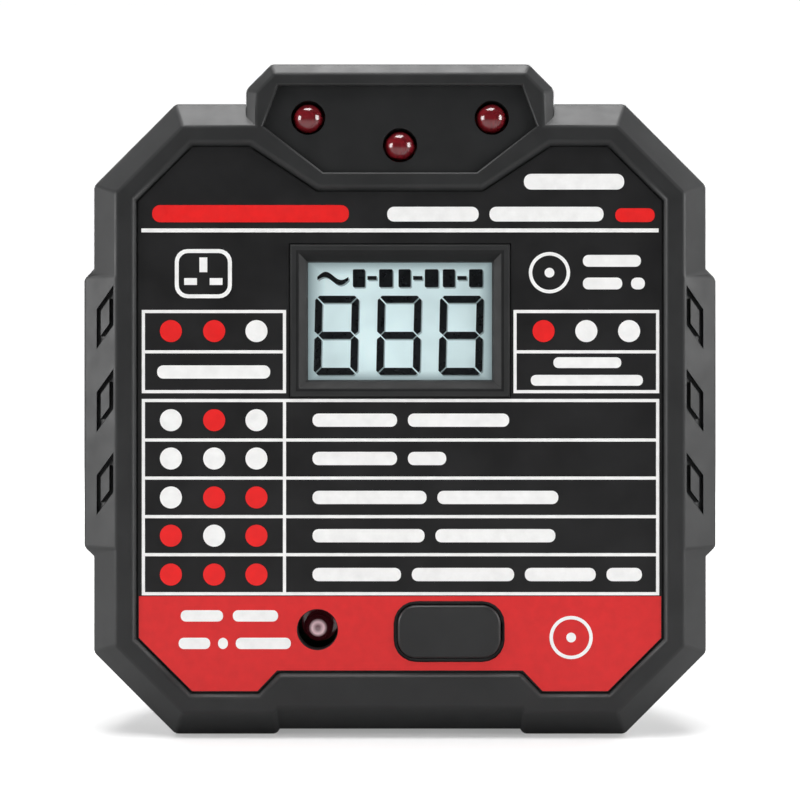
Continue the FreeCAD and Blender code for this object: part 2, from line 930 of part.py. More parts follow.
def build_front_cover():
    """Front shell: bevelled outside, hollow inside, with posts and snap arms."""
    rim = casing_outline("rim")
    head = head_outline("rim")
    face = octagon_loft(
        "cover_face",
        [
            ("Size.parting_y", rim, "0"),
            ("Size.bevel_y", rim, "0"),
            ("Size.front_y", rim, "Size.bevel"),
        ],
    )
    head_face = octagon_loft(
        "cover_head",
        [
            ("Size.parting_y", head, "0"),
            ("Size.front_y + Size.head_bevel", head, "0"),
            ("Size.front_y", head, "Size.head_bevel"),
        ],
    )
    lip = octagon_loft(
        "cover_lip",
        [
            ("Size.cover_inside_y - Size.bury", HOLLOW_RIM, "Size.wall - Size.lip_inset"),
            ("Size.lip_end_y", HOLLOW_RIM, "Size.wall - Size.lip_inset"),
        ],
    )
    outside = fuse("cover_outside", [face, front_bulge("cover_bulge", "0"), head_face, lip])

    hollow_end = "Size.lip_end_y + Size.past"
    hollow = octagon_loft(
        "cover_hollow",
        [
            ("Size.cover_inside_y", HOLLOW_RIM, "Size.wall"),
            (hollow_end, HOLLOW_RIM, "Size.wall"),
        ],
    )
    head_hollow = octagon_loft(
        "cover_head_hollow",
        [("Size.cover_inside_y", head, "Size.wall"), (hollow_end, head, "Size.wall")],
    )
    rim_half = "Size.notch_rim_half"
    notch = notch_trough(
        "cover_notch",
        [
            (
                "Size.front_y - Size.past",
                rim_half,
                "Size.notch_rim - Size.bevel * (1 + Size.past / (Size.bevel_y - Size.front_y))",
            ),
            ("Size.bevel_y", rim_half, "Size.notch_rim"),
            ("Size.parting_y + Size.past", rim_half, "Size.notch_rim"),
        ],
    )
    brim = panel_corners("(-Size.panel_lip)")
    panel = loft(
        "cover_panel",
        [
            polygon("cover_panel_top", brim, y="Size.front_y - Size.past"),
            polygon("cover_panel_brim", brim, y="Size.front_y"),
            polygon("cover_panel_floor", panel_corners("0"), y="Size.panel_y"),
        ],
    )
    head_panel = extrude(
        "cover_head_panel",
        polygon("cover_head_panel_outline", head_panel_corners(), y="Size.front_y - Size.past"),
        Vector(0, 1, 0),
        "Size.head_panel_y - Size.front_y + Size.past",
    )
    shell = cut(
        "cover_shell",
        outside,
        [hollow, head_hollow, notch, panel, head_panel, grip_grooves()],
    )

    frame = extrude(
        "cover_frame",
        polygon("cover_frame_outline", view_rectangle("Size.frame_rim"), y="Size.frame_y"),
        Vector(0, 1, 0),
        "Size.cover_inside_y - Size.frame_y",
    )
    additions = [shell, frame]
    for number, (x, z) in enumerate(BOARD_POSTS, 1):
        start = (x, "Size.cover_inside_y - Size.bury", z)
        length = "Size.board_front_y - Size.cover_inside_y + Size.bury"
        additions.append(rod(f"board_post_{number}", "Size.board_post_radius", start, length))
    for number, (side, z) in enumerate(SNAP_PLACES, 1):
        additions.append(snap_arm(number, side, z))

    frame_slope = loft(
        "frame_slope",
        [
            polygon("frame_slope_front", view_rectangle("Size.frame_slope"), y="Size.frame_y"),
            polygon("frame_slope_sill", view_rectangle("0"), y="Size.frame_sill_y"),
        ],
    )
    view = extrude(
        "view_opening",
        polygon("view_opening_outline", view_rectangle("0"), y="Size.frame_sill_y"),
        Vector(0, 1, 0),
        "Size.cover_inside_y - Size.frame_sill_y + Size.past",
    )
    window_seat = extrude(
        "window_seat",
        polygon("window_seat_outline", view_rectangle("Size.window_lap"), y="Size.window_front_y"),
        Vector(0, 1, 0),
        "Size.cover_inside_y - Size.window_front_y + Size.past",
    )
    through = "Size.cover_inside_y - Size.front_y + 2 * Size.past"
    holes = [frame_slope, view, window_seat]
    for name, (x, z) in LAMPS.items():
        start = (x, "Size.front_y - Size.past", z)
        holes.append(rod(f"{name}_hole", "Size.lamp_hole_radius", start, through))
    fault_start = ("Size.fault_x", "Size.front_y - Size.past", "Size.fault_z")
    holes.append(rod("fault_lamp_hole", "Size.fault_hole_radius", fault_start, through))
    holes.append(
        rounded_block(
            "button_hole",
            button_outline("Size.button_gap"),
            ("Size.front_y - Size.past", "Size.cover_inside_y + Size.past"),
            "Size.button_radius + Size.button_gap",
        )
    )
    for number, (x, z) in enumerate(BOARD_POSTS, 1):
        start = (x, "Size.board_post_floor_y", z)
        length = "Size.board_front_y - Size.board_post_floor_y + Size.past"
        holes.append(rod(f"board_pilot_{number}", "Size.pilot_radius", start, length))
    piece(cut("cover_finished", fuse("cover_body", additions), holes), "front_cover")


def build_front_label():
    """Printed overlay that lies on the floor of the front panel."""
    blank = extrude(
        "label_blank",
        polygon(
            "label_outline",
            panel_corners("Size.label_gap"),
            y="Size.panel_y - Size.label_thickness",
        ),
        Vector(0, 1, 0),
        "Size.label_thickness",
    )
    around = ("Size.front_y", "Size.cover_inside_y")
    depth = "Size.cover_inside_y - Size.front_y"
    frame_hole = extrude(
        "label_frame_hole",
        polygon(
            "label_frame_outline",
            view_rectangle("Size.frame_rim + Size.label_gap"),
            y="Size.front_y",
        ),
        Vector(0, 1, 0),
        depth,
    )
    button_hole = rounded_block(
        "label_button_hole",
        button_outline("Size.label_button_gap"),
        around,
        "Size.button_radius + Size.label_button_gap",
    )
    lamp_hole = rod(
        "label_lamp_hole",
        "Size.fault_hole_radius",
        ("Size.fault_x", "Size.front_y", "Size.fault_z"),
        depth,
    )
    piece(cut("label", blank, [frame_hole, button_hole, lamp_hole]), "front_label")


# ------------------------------------------------------------ rear housing


def side_rings():
    """Rounded rectangular grooves that follow the creased sides at a shallow depth."""

    def ring_block(label, inset, radius):
        body = new_body(label)
        sketch = sketch_in(body, "YZ_Plane", f"{label}_outline")
        low_y = f"Size.ring_low_y + {inset}"
        high_y = f"Size.ring_high_y - {inset}"
        low_z = f"Size.ring_low_z + {inset}"
        high_z = f"Size.ring_high_z - {inset}"
        draw_polygon(
            sketch, [(high_y, high_z), (low_y, high_z), (low_y, low_z), (high_y, low_z)]
        )
        pad = body.newObject("PartDesign::Pad", f"{label}_pad")
        pad.Profile = sketch
        pad.SideType = "Symmetric"
        pad.setExpression("Length", "2 * (Size.rim_side + 2 * Size.past)")

        def along_x(edge):
            return abs(edge.tangentAt(edge.FirstParameter).x) > PARALLEL

        round_edges(body, pad, along_x, radius)
        return body

    band = cut(
        "ring_band",
        ring_block("ring_outer", "0", "Size.ring_radius"),
        [ring_block("ring_inner", "Size.ring_width", "Size.ring_inner_radius")],
    )
    return cut("side_rings", band, [rear_bulge("ring_floor", "Size.ring_depth")])


def rear_bulge(label, inset):
    """Rear part of the side bulges, shrunk by an inset."""
    start = "Size.parting_y + Size.seam"
    return octagon_loft(
        label,
        [
            (start, bulge_outline("rim"), inset),
            ("Size.crease_y", bulge_outline("crease"), inset),
            ("Size.rear_y", bulge_outline("rear"), inset),
        ],
    )


def build_rear_housing():
    """Rear shell with the plug boss, the rear of the head and the two feet."""
    outlines = [casing_outline(station) for station in ("rim", "crease", "rear")]
    flare = "-Size.boss_draft - Size.boss_cove"
    stations = [("Size.rear_y - Size.boss_root", BOSS_OUTLINE, flare)]
    for step in range(COVE_STEPS + 1):
        turn = math.pi / 2 * step / COVE_STEPS
        depth = f"Size.rear_y + Size.boss_cove * {1 - math.cos(turn):.4f}"
        inset = f"-Size.boss_draft - Size.boss_cove * {1 - math.sin(turn):.4f}"
        stations.append((depth, BOSS_OUTLINE, inset))
    stations.append(("Size.boss_bevel_y", BOSS_OUTLINE, "0"))
    stations.append(("Size.boss_rim_y", BOSS_OUTLINE, "Size.boss_bevel"))
    boss = octagon_loft("boss", stations)
    outside = fuse(
        "housing_outside",
        [
            crease_solid("housing_form", outlines),
            rear_bulge("housing_bulge", "0"),
            head_solid("housing_head"),
            boss,
        ],
    )

    start = "Size.parting_y"
    hollow = octagon_loft(
        "housing_hollow",
        [
            (start, HOLLOW_RIM, "Size.wall"),
            ("Size.crease_y", HOLLOW_CREASE, "Size.wall"),
            ("Size.cavity_rear_y", HOLLOW_REAR, "0"),
        ],
    )
    head_hollow = octagon_loft(
        "housing_head_hollow",
        [
            (start, head_outline("rim"), "Size.wall"),
            ("Size.crease_y", head_outline("crease"), "Size.wall"),
            ("Size.cavity_rear_y", HEAD_HOLLOW_REAR, "0"),
        ],
    )
    rebate = octagon_loft(
        "housing_rebate",
        [
            (start, HOLLOW_RIM, "Size.wall - Size.lip_inset - Size.lip_gap"),
            (
                "Size.lip_end_y + Size.lip_gap",
                HOLLOW_RIM,
                "Size.wall - Size.lip_inset - Size.lip_gap",
            ),
        ],
    )
    notch = notch_trough(
        "housing_notch",
        [
            ("Size.parting_y", "Size.notch_rim_half", "Size.notch_rim"),
            ("Size.crease_y", "Size.notch_crease_half", "Size.notch_crease"),
            ("Size.rear_y + Size.past", "Size.notch_rear_half", "Size.notch_rear"),
        ],
    )
    opening = octagon_loft(
        "plate_opening",
        [
            ("Size.cavity_rear_y - Size.past", PLATE_OUTLINE, "-Size.plate_gap"),
            ("Size.past", PLATE_OUTLINE, "-Size.plate_gap"),
        ],
    )
    shell = cut(
        "housing_shell",
        outside,
        [hollow, head_hollow, rebate, notch, side_rings()],
    )

    additions = [shell]
    for number, (side, z) in enumerate(SNAP_PLACES, 1):
        low, high = ("ledge_inner_x", "ledge_outer_x")
        if side < 0:
            low, high = high, low
        additions.append(
            box(
                f"ledge_{number}",
                (f"{side} * Size.{low}", f"{side} * Size.{high}"),
                ("Size.ledge_front_y", "Size.ledge_rear_y"),
                (f"{z} - Size.snap_half - Size.past", f"{z} + Size.snap_half + Size.past"),
            )
        )
    pilots = [opening]
    for number, (x, z) in enumerate(EAR_PLACES, 1):
        top = "Size.ear_y + Size.column_gap"
        length = f"Size.cavity_rear_y + Size.bury - ({top})"
        additions.append(rod(f"ear_column_{number}", "Size.column_radius", (x, top, z), length))
        depth = "Size.carrier_pilot_y - Size.ear_y + Size.past"
        pilot_start = (x, "Size.ear_y - Size.past", z)
        pilots.append(rod(f"ear_pilot_{number}", "Size.pilot_radius", pilot_start, depth))
    piece(cut("housing_finished", fuse("housing_body", additions), pilots), "rear_housing")


# ------------------------------------------------------- pins and carrier


PINS = {
    "live_pin": ("Size.pin_side_x", "-Size.pin_z", "line"),
    "neutral_pin": ("-Size.pin_side_x", "-Size.pin_z", "line"),
    "earth_pin": ("0", "Size.pin_z", "earth"),
}


def pin_section(label, pin, y, width, height):
    """Rectangular section of a pin at a depth."""
    x, z, kind = PINS[pin]
    return polygon(label, rectangle(x, z, width, height), y=y)


def pin_block(label, pin, y, width, height):
    """Rectangular block of a pin between two depths."""
    sketch = pin_section(f"{label}_outline", pin, y[0], width, height)
    return extrude(label, sketch, Vector(0, 1, 0), f"({y[1]}) - ({y[0]})")


def root_size(kind, extra="0"):
    """Width and height of the pin where it passes the plate."""
    return [f"Size.{kind}_root_{name} + 2 * ({extra})" for name in ("width", "height")]


def build_pin(pin):
    """Plated pin: chamfered tip, stepped shoulder, root, inner collar and solder tail."""
    x, z, kind = PINS[pin]
    width = f"Size.{kind}_width"
    height = f"Size.{kind}_height"
    length = f"Size.{kind}_length"
    shrink = "2 * Size.tip_inset"
    shank = loft(
        f"{pin}_shank",
        [
            pin_section(f"{pin}_shank_root", pin, "0", width, height),
            pin_section(f"{pin}_shank_end", pin, f"{length} - Size.tip_length", width, height),
            pin_section(
                f"{pin}_tip", pin, length, f"{width} - {shrink}", f"{height} - {shrink}"
            ),
        ],
    )
    root_width, root_height = root_size(kind)
    shoulder_width, shoulder_height = root_size(kind, "-Size.shoulder_inset")
    shoulder = loft(
        f"{pin}_shoulder",
        [
            pin_section(f"{pin}_shoulder_low", pin, "0", root_width, root_height),
            pin_section(
                f"{pin}_shoulder_high",
                pin,
                "Size.shoulder_height",
                shoulder_width,
                shoulder_height,
            ),
        ],
    )
    root = pin_block(f"{pin}_root", pin, ("-Size.plate_thickness", "0"), root_width, root_height)
    collar_low = "-Size.plate_thickness - Size.collar_height"
    collar_width, collar_height = root_size(kind, "Size.collar_edge")
    collar = pin_block(
        f"{pin}_collar", pin, (collar_low, "-Size.plate_thickness"), collar_width, collar_height
    )
    tail = pin_block(
        f"{pin}_tail",
        pin,
        ("Size.tail_end_y", collar_low),
        "Size.tail_width",
        "Size.tail_thickness",
    )
    eyelet = rod(
        f"{pin}_eyelet",
        "Size.tail_hole_radius",
        (x, "Size.tail_hole_y", f"{z} - Size.tail_thickness"),
        "2 * Size.tail_thickness",
        "z",
    )
    blank = fuse(f"{pin}_blank", [shank, shoulder, root, collar, tail])
    piece(cut(f"{pin}_finished", blank, [eyelet]), pin)


def build_pin_carrier():
    """Deep cup that carries the pins and is screwed to the housing by four ears."""
    block = octagon_loft(
        "carrier_block",
        [("Size.carrier_deep_y", PLATE_OUTLINE, "0"), ("0", PLATE_OUTLINE, "0")],
    )
    ears = []
    near = "(Size.plate_side - Size.carrier_wall)"
    far = "Size.ear_end_x"
    for side in SIDES:
        x = (near, far) if side > 0 else (f"-{far}", f"-{near}")
        for level in SIDES:
            z = f"{level} * Size.ear_z"
            ears.append(
                box(
                    f"ear_{'right' if side > 0 else 'left'}_{'top' if level > 0 else 'low'}",
                    x,
                    ("Size.carrier_deep_y", "Size.ear_y"),
                    (f"{z} - Size.ear_half", f"{z} + Size.ear_half"),
                )
            )
    cup = octagon_loft(
        "carrier_cup",
        [
            ("Size.carrier_deep_y - Size.past", PLATE_OUTLINE, "Size.carrier_wall"),
            ("-Size.plate_thickness", PLATE_OUTLINE, "Size.carrier_wall"),
        ],
    )
    hollowed = cut("carrier_hollowed", fuse("carrier_eared", [block] + ears), [cup])
    posts = []
    for number, (x, z) in enumerate(RETAINER_PLACES, 1):
        start = (x, "-Size.plate_thickness - Size.collar_height", z)
        length = "Size.collar_height + Size.bury"
        posts.append(rod(f"retainer_post_{number}", "Size.post_radius", start, length))
    holes = []
    for pin, (*_, kind) in PINS.items():
        width, height = root_size(kind, "Size.pin_gap")
        span = ("-Size.plate_thickness - Size.past", "Size.past")
        holes.append(pin_block(f"{pin}_hole", pin, span, width, height))
    for number, (x, z) in enumerate(RETAINER_PLACES, 1):
        start = (x, "-Size.plate_thickness - Size.collar_height - Size.past", z)
        length = f"Size.retainer_pilot_y - ({start[1]})"
        holes.append(rod(f"retainer_pilot_{number}", "Size.pilot_radius", start, length))
    for number, (x, z) in enumerate(EAR_PLACES, 1):
        start = (x, "Size.carrier_deep_y - Size.past", z)
        length = "Size.ear_y - Size.carrier_deep_y + 2 * Size.past"
        holes.append(rod(f"ear_hole_{number}", "Size.clear_radius", start, length))
    solid = fuse("carrier_posted", [hollowed] + posts)
    piece(cut("carrier_finished", solid, holes), "pin_carrier")


def build_pin_retainer():
    """Plate that clamps the pin collars into the carrier."""
    near = "-Size.plate_thickness - Size.collar_height - Size.pin_gap"
    far = f"{near} - Size.retainer_thickness"
    blank = octagon_loft(
        "retainer_blank",
        [(far, PLATE_OUTLINE, "Size.retainer_inset"), (near, PLATE_OUTLINE, "Size.retainer_inset")],
    )
    holes = []
    for pin in PINS:
        holes.append(
            pin_block(
                f"{pin}_tail_slot",
                pin,
                (f"{far} - Size.past", f"{near} + Size.past"),
                "Size.tail_width + 2 * Size.slot_gap",
                "Size.tail_thickness + 2 * Size.slot_gap",
            )
        )
    for number, (x, z) in enumerate(RETAINER_PLACES, 1):
        start = (x, f"{far} - Size.past", z)
        length = "Size.retainer_thickness + 2 * Size.past"
        holes.append(rod(f"retainer_hole_{number}", "Size.clear_radius", start, length))
    piece(cut("retainer_finished", blank, holes), "pin_retainer")


# ------------------------------------------------------------------ screws


def screw(label, x, z, seat, length, toward):
    """Pan-head screw on a seat plane, its shank pointing along +Y or -Y."""

    def span(near, far):
        """Start depth and length of a stretch measured from the seat."""
        first = near if toward > 0 else far
        return f"({seat}) + {toward} * ({first})", f"({far}) - ({near})"

    head_y, head_length = span("-Size.screw_head_height", "0")
    shank_y, shank_length = span("0", f"{length} - Size.screw_point")
    head = rod(f"{label}_head", "Size.screw_head_radius", (x, head_y, z), head_length)
    shank = rod(f"{label}_shank", "Size.screw_radius", (x, shank_y, z), shank_length)
    point = doc.addObject("Part::Cone", f"{label}_point")
    point.Placement = Placement(Vector(), Rotation(Vector(1, 0, 0), -90 * toward))
    point.setExpression("Radius1", "Size.screw_radius")
    point.setExpression("Radius2", "Size.screw_point_radius")
    point.setExpression("Height", "Size.screw_point")
    set_base(point, x, f"({seat}) + {toward} * ({length} - Size.screw_point)", z)
    recess_near = "-Size.screw_head_height - Size.past"
    recess_y, recess_length = span(recess_near, "-Size.screw_head_height + Size.recess_depth")
    slots = []
    for name, wide, tall in (("flat", "length", "width"), ("tall", "width", "length")):
        slots.append(
            box(
                f"{label}_{name}_slot",
                (f"{x} - Size.recess_{wide} / 2", f"{x} + Size.recess_{wide} / 2"),
                (recess_y, f"{recess_y} + {recess_length}"),
                (f"{z} - Size.recess_{tall} / 2", f"{z} + Size.recess_{tall} / 2"),
            )
        )
    return cut(label, fuse(f"{label}_blank", [head, shank, point]), slots)


def build_screws():
    """Screws of the board, the carrier and the retainer, each set one node."""
    retainer_seat = "-Size.plate_thickness - Size.collar_height - Size.pin_gap - Size.retainer_thickness"
    sets = [
        ("board_screws", BOARD_POSTS, "Size.board_rear_y", "Size.board_screw_length", -1),
        ("carrier_screws", EAR_PLACES, "Size.carrier_deep_y", "Size.carrier_screw_length", 1),
        ("retainer_screws", RETAINER_PLACES, retainer_seat, "Size.retainer_screw_length", 1),
    ]
    for name, places, seat, length, toward in sets:
        solids = []
        for number, (x, z) in enumerate(places, 1):
            solids.append(screw(f"{name}_{number}", x, z, seat, length, toward))
        piece(group(f"{name}_group", solids), name)


# ----------------------------------------------------------------- display


def build_display():
    """Clear lens, display cell, its holder, the light guide and the contact strips."""
    lap = "Size.window_lap - Size.window_gap"
    window_sketch = polygon("window_outline", view_rectangle(lap), y="Size.window_front_y")
    window_depth = "Size.cover_inside_y - Size.window_front_y"
    piece(extrude("window", window_sketch, Vector(0, 1, 0), window_depth), "display_window")

    cell = box(
        "cell",
        ("-Size.cell_side", "Size.cell_side"),
        ("Size.cell_front_y", "Size.cell_rear_y"),
        ("Size.view_z - Size.cell_half", "Size.view_z + Size.cell_half"),
    )
    piece(cell, "lcd_glass")

    body = box(
        "holder_body",
        ("-Size.holder_side", "Size.holder_side"),
        ("Size.cell_front_y", "Size.board_front_y"),
        ("Size.view_z - Size.holder_half", "Size.view_z + Size.holder_half"),
    )
    seat = box(
        "holder_seat",
        ("-Size.cell_side - Size.cell_gap", "Size.cell_side + Size.cell_gap"),
        ("Size.cell_front_y - Size.past", "Size.cell_rear_y"),
        (
            "Size.view_z - Size.cell_half - Size.cell_gap",
            "Size.view_z + Size.cell_half + Size.cell_gap",
        ),
    )
    light_well = box(
        "holder_light_well",
        ("-Size.diffuser_side - Size.cell_gap", "Size.diffuser_side + Size.cell_gap"),
        ("Size.cell_rear_y - Size.past", "Size.board_front_y + Size.past"),
        (
            "Size.view_z - Size.diffuser_half - Size.cell_gap",
            "Size.view_z + Size.diffuser_half + Size.cell_gap",
        ),
    )
    slots = []
    strips = []
    for level in SIDES:
        near, far = ("strip_low", "strip_high") if level > 0 else ("strip_high", "strip_low")
        low = f"Size.view_z + {level} * Size.{near}"
        high = f"Size.view_z + {level} * Size.{far}"
        slots.append(
            box(
                f"strip_slot_{'top' if level > 0 else 'low'}",
                ("-Size.strip_side - Size.cell_gap", "Size.strip_side + Size.cell_gap"),
                ("Size.cell_rear_y - Size.past", "Size.board_front_y + Size.past"),
                (f"{low} - Size.cell_gap", f"{high} + Size.cell_gap"),
            )
        )
        strips.append(
            box(
                f"strip_{'top' if level > 0 else 'low'}",
                ("-Size.strip_side", "Size.strip_side"),
                ("Size.cell_rear_y", "Size.board_front_y"),
                (low, high),
            )
        )
    piece(cut("holder", body, [seat, light_well] + slots), "lcd_holder")
    piece(group("strips", strips), "zebra_strips")

    diffuser = box(
        "diffuser",
        ("-Size.diffuser_side", "Size.diffuser_side"),
        ("Size.cell_rear_y", "Size.board_front_y"),
        ("Size.view_z - Size.diffuser_half", "Size.view_z + Size.diffuser_half"),
    )
    piece(diffuser, "backlight_diffuser")


# ------------------------------------------------------------------- lamps


def build_lamp(name, x, z, tip):
    """Round lamp with a domed tip towards the front and a flange at its base."""
    flange_y = f"{tip} + Size.lamp_length - Size.lamp_flange"
    base_y = f"{tip} + Size.lamp_length"
    profile = [
        ("0", tip),
        ("Size.lamp_radius", tip),
        ("Size.lamp_radius", flange_y),
        ("Size.lamp_flange_radius", flange_y),
        ("Size.lamp_flange_radius", base_y),
        ("0", base_y),
    ]
    body = turned(name, profile, x, z)
    doc.recompute()
    tip_depth = body.Tip.Shape.BoundBox.YMin

    def at_tip(edge):
        ends = (edge.BoundBox.YMin, edge.BoundBox.YMax)
        return max(abs(end - tip_depth) for end in ends) < SAME_PLACE

    round_edges(body, body.Tip, at_tip, "Size.lamp_dome")
    piece(body, name)


def lamp_legs(name, x, z, tip):
    """Two square wire legs from the base of a lamp through the board."""
    legs = []
    for side in SIDES:
        middle = f"{x} + {side} * Size.leg_pitch"
        legs.append(
            box(
                f"{name}_leg_{'right' if side > 0 else 'left'}",
                (f"{middle} - Size.leg_half", f"{middle} + Size.leg_half"),
                (f"{tip} + Size.lamp_length", "Size.leg_end_y"),
                (f"{z} - Size.leg_half", f"{z} + Size.leg_half"),
            )
        )
        board_holes.append((middle, z))
    return legs


def build_lamps():
    """Three head lamps and the fault lamp, with their legs as one node."""
    legs = []
    lamps = [(name, x, z, "Size.lamp_tip_y") for name, (x, z) in LAMPS.items()]
    lamps.append(("rcd_led", "Size.fault_x", "Size.fault_z", "Size.fault_tip_y"))
    for name, x, z, tip in lamps:
        build_lamp(name, x, z, tip)
        legs += lamp_legs(name, x, z, tip)
    piece(group("lamp_legs", legs), "led_legs")


# ------------------------------------------------------------- test button


def build_test_button():
    """Keycap with an inner flange and a stem over the switch plunger."""
    flange_front = "Size.cover_inside_y + Size.button_rest_gap"
    cap = rounded_block(
        "button_cap",
        button_outline("0"),
        ("Size.button_front_y", flange_front),
        "Size.button_radius",
    )
    doc.recompute()
    front = cap.Tip.Shape.BoundBox.YMin

    def on_front(edge):
        return edge.BoundBox.YMax - front < SAME_PLACE

    round_edges(cap, cap.Tip, on_front, "Size.button_edge")
    flange = rounded_block(
        "button_flange_plate",
        button_outline("Size.button_flange"),
        (flange_front, "Size.button_flange_rear_y"),
        "Size.button_radius",
    )
    stem = rod(
        "button_stem",
        "Size.button_stem_radius",
        ("Size.button_x", "Size.button_flange_rear_y", "Size.button_z"),
        "Size.button_stem_y - Size.button_flange_rear_y",
    )
    piece(fuse("button", [cap, flange, stem]), "test_button")


def build_switch():
    """Tactile switch under the button: base, steel cover, plunger, dome and legs."""
    x = "Size.button_x"
    z = "Size.button_z"
    across = (f"{x} - Size.switch_half", f"{x} + Size.switch_half")
    upward = (f"{z} - Size.switch_half", f"{z} + Size.switch_half")
    block = box("switch_block", across, ("Size.switch_top_y", "Size.board_front_y"), upward)
    well = rod(
        "switch_well",
        "Size.switch_well_radius",
        (x, "Size.switch_top_y - Size.past", z),
        "Size.switch_well_y - Size.switch_top_y + Size.past",
    )
    piece(cut("switch_housing", block, [well]), "switch_base")

    plate = box("switch_plate", across, ("Size.switch_cover_y", "Size.switch_top_y"), upward)
    hole = rod(
        "switch_plate_hole",
        "Size.switch_hole_radius",
        (x, "Size.switch_cover_y - Size.past", z),
        "Size.switch_top_y - Size.switch_cover_y + 2 * Size.past",
    )
    piece(cut("switch_lid", plate, [hole]), "switch_cover")

    plunger = turned(
        "plunger",
        [
            ("0", "Size.plunger_front_y"),
            ("Size.plunger_radius", "Size.plunger_front_y"),
            ("Size.plunger_radius", "Size.plunger_flange_y"),
            ("Size.plunger_flange_radius", "Size.plunger_flange_y"),
            ("Size.plunger_flange_radius", "Size.plunger_under_y"),
            ("Size.plunger_nub_radius", "Size.plunger_under_y"),
            ("Size.plunger_nub_radius", "Size.plunger_nub_y"),
            ("0", "Size.plunger_nub_y"),
        ],
        x,
        z,
    )
    piece(plunger, "switch_plunger")

    dome = turned(
        "dome",
        [
            ("0", "Size.dome_crown_y"),
            ("Size.dome_shoulder_radius", "Size.dome_shoulder_y"),
            ("Size.dome_radius", "Size.dome_foot_y - Size.dome_gauge"),
            ("Size.dome_radius", "Size.dome_foot_y"),
            ("Size.dome_radius - Size.dome_gauge", "Size.dome_foot_y"),
            ("Size.dome_shoulder_radius", "Size.dome_shoulder_y + Size.dome_gauge"),
            ("0", "Size.dome_crown_y + Size.dome_gauge"),
        ],
        x,
        z,
    )
    piece(dome, "switch_dome")

    legs = []
    for side in SIDES:
        for level in SIDES:
            inner = f"{x} + {side} * Size.switch_half"
            outer = f"{inner} + {side} * Size.terminal_thickness"
            span = (inner, outer) if side > 0 else (outer, inner)
            middle = f"{z} + {level} * Size.terminal_pitch"
            legs.append(
                box(
                    f"terminal_{'right' if side > 0 else 'left'}_{'top' if level > 0 else 'low'}",
                    span,
                    ("Size.terminal_top_y", "Size.terminal_end_y"),
                    (f"{middle} - Size.terminal_half_width", f"{middle} + Size.terminal_half_width"),
                )
            )
            board_holes.append((f"({inner} + {outer}) / 2", middle))
    piece(group("terminals", legs), "switch_terminals")


# ------------------------------------------------------------- electronics


def part_leg(label, x, z, start):
    """Round wire leg from inside a component through the board."""
    board_holes.append((x, z))
    length = f"({start}) - Size.part_leg_tip_y"
    return rod(label, "Size.part_leg_radius", (x, "Size.part_leg_tip_y", z), length)


def axial_component(name, key, axis, x, z):
    """Cylinder lying on the board, with a wire leg bent down at each end."""
    depth = f"Size.part_lift_y + Size.{key}_radius"
    centre = {"x": x, "z": z}

    def at(offset):
        """Point on the component's axis, displaced along it."""
        place = dict(centre)
        place[axis] = f"{centre[axis]} + ({offset})"
        return place["x"], place["z"]

    start_x, start_z = at(f"-Size.{key}_half")
    barrel = rod(
        f"{name}_barrel",
        f"Size.{key}_radius",
        (start_x, depth, start_z),
        f"2 * Size.{key}_half",
        axis,
    )
    wire_x, wire_z = at(f"-Size.{key}_span - Size.part_wire_radius")
    wire = rod(
        f"{name}_wire",
        "Size.part_wire_radius",
        (wire_x, depth, wire_z),
        f"2 * (Size.{key}_span + Size.part_wire_radius)",
        axis,
    )
    solids = [barrel, wire]
    for end in SIDES:
        leg_x, leg_z = at(f"{end} * Size.{key}_span")
        label = f"{name}_leg_{'high' if end > 0 else 'low'}"
        solids.append(part_leg(label, leg_x, leg_z, depth))
    return fuse(f"{name}_whole", solids)


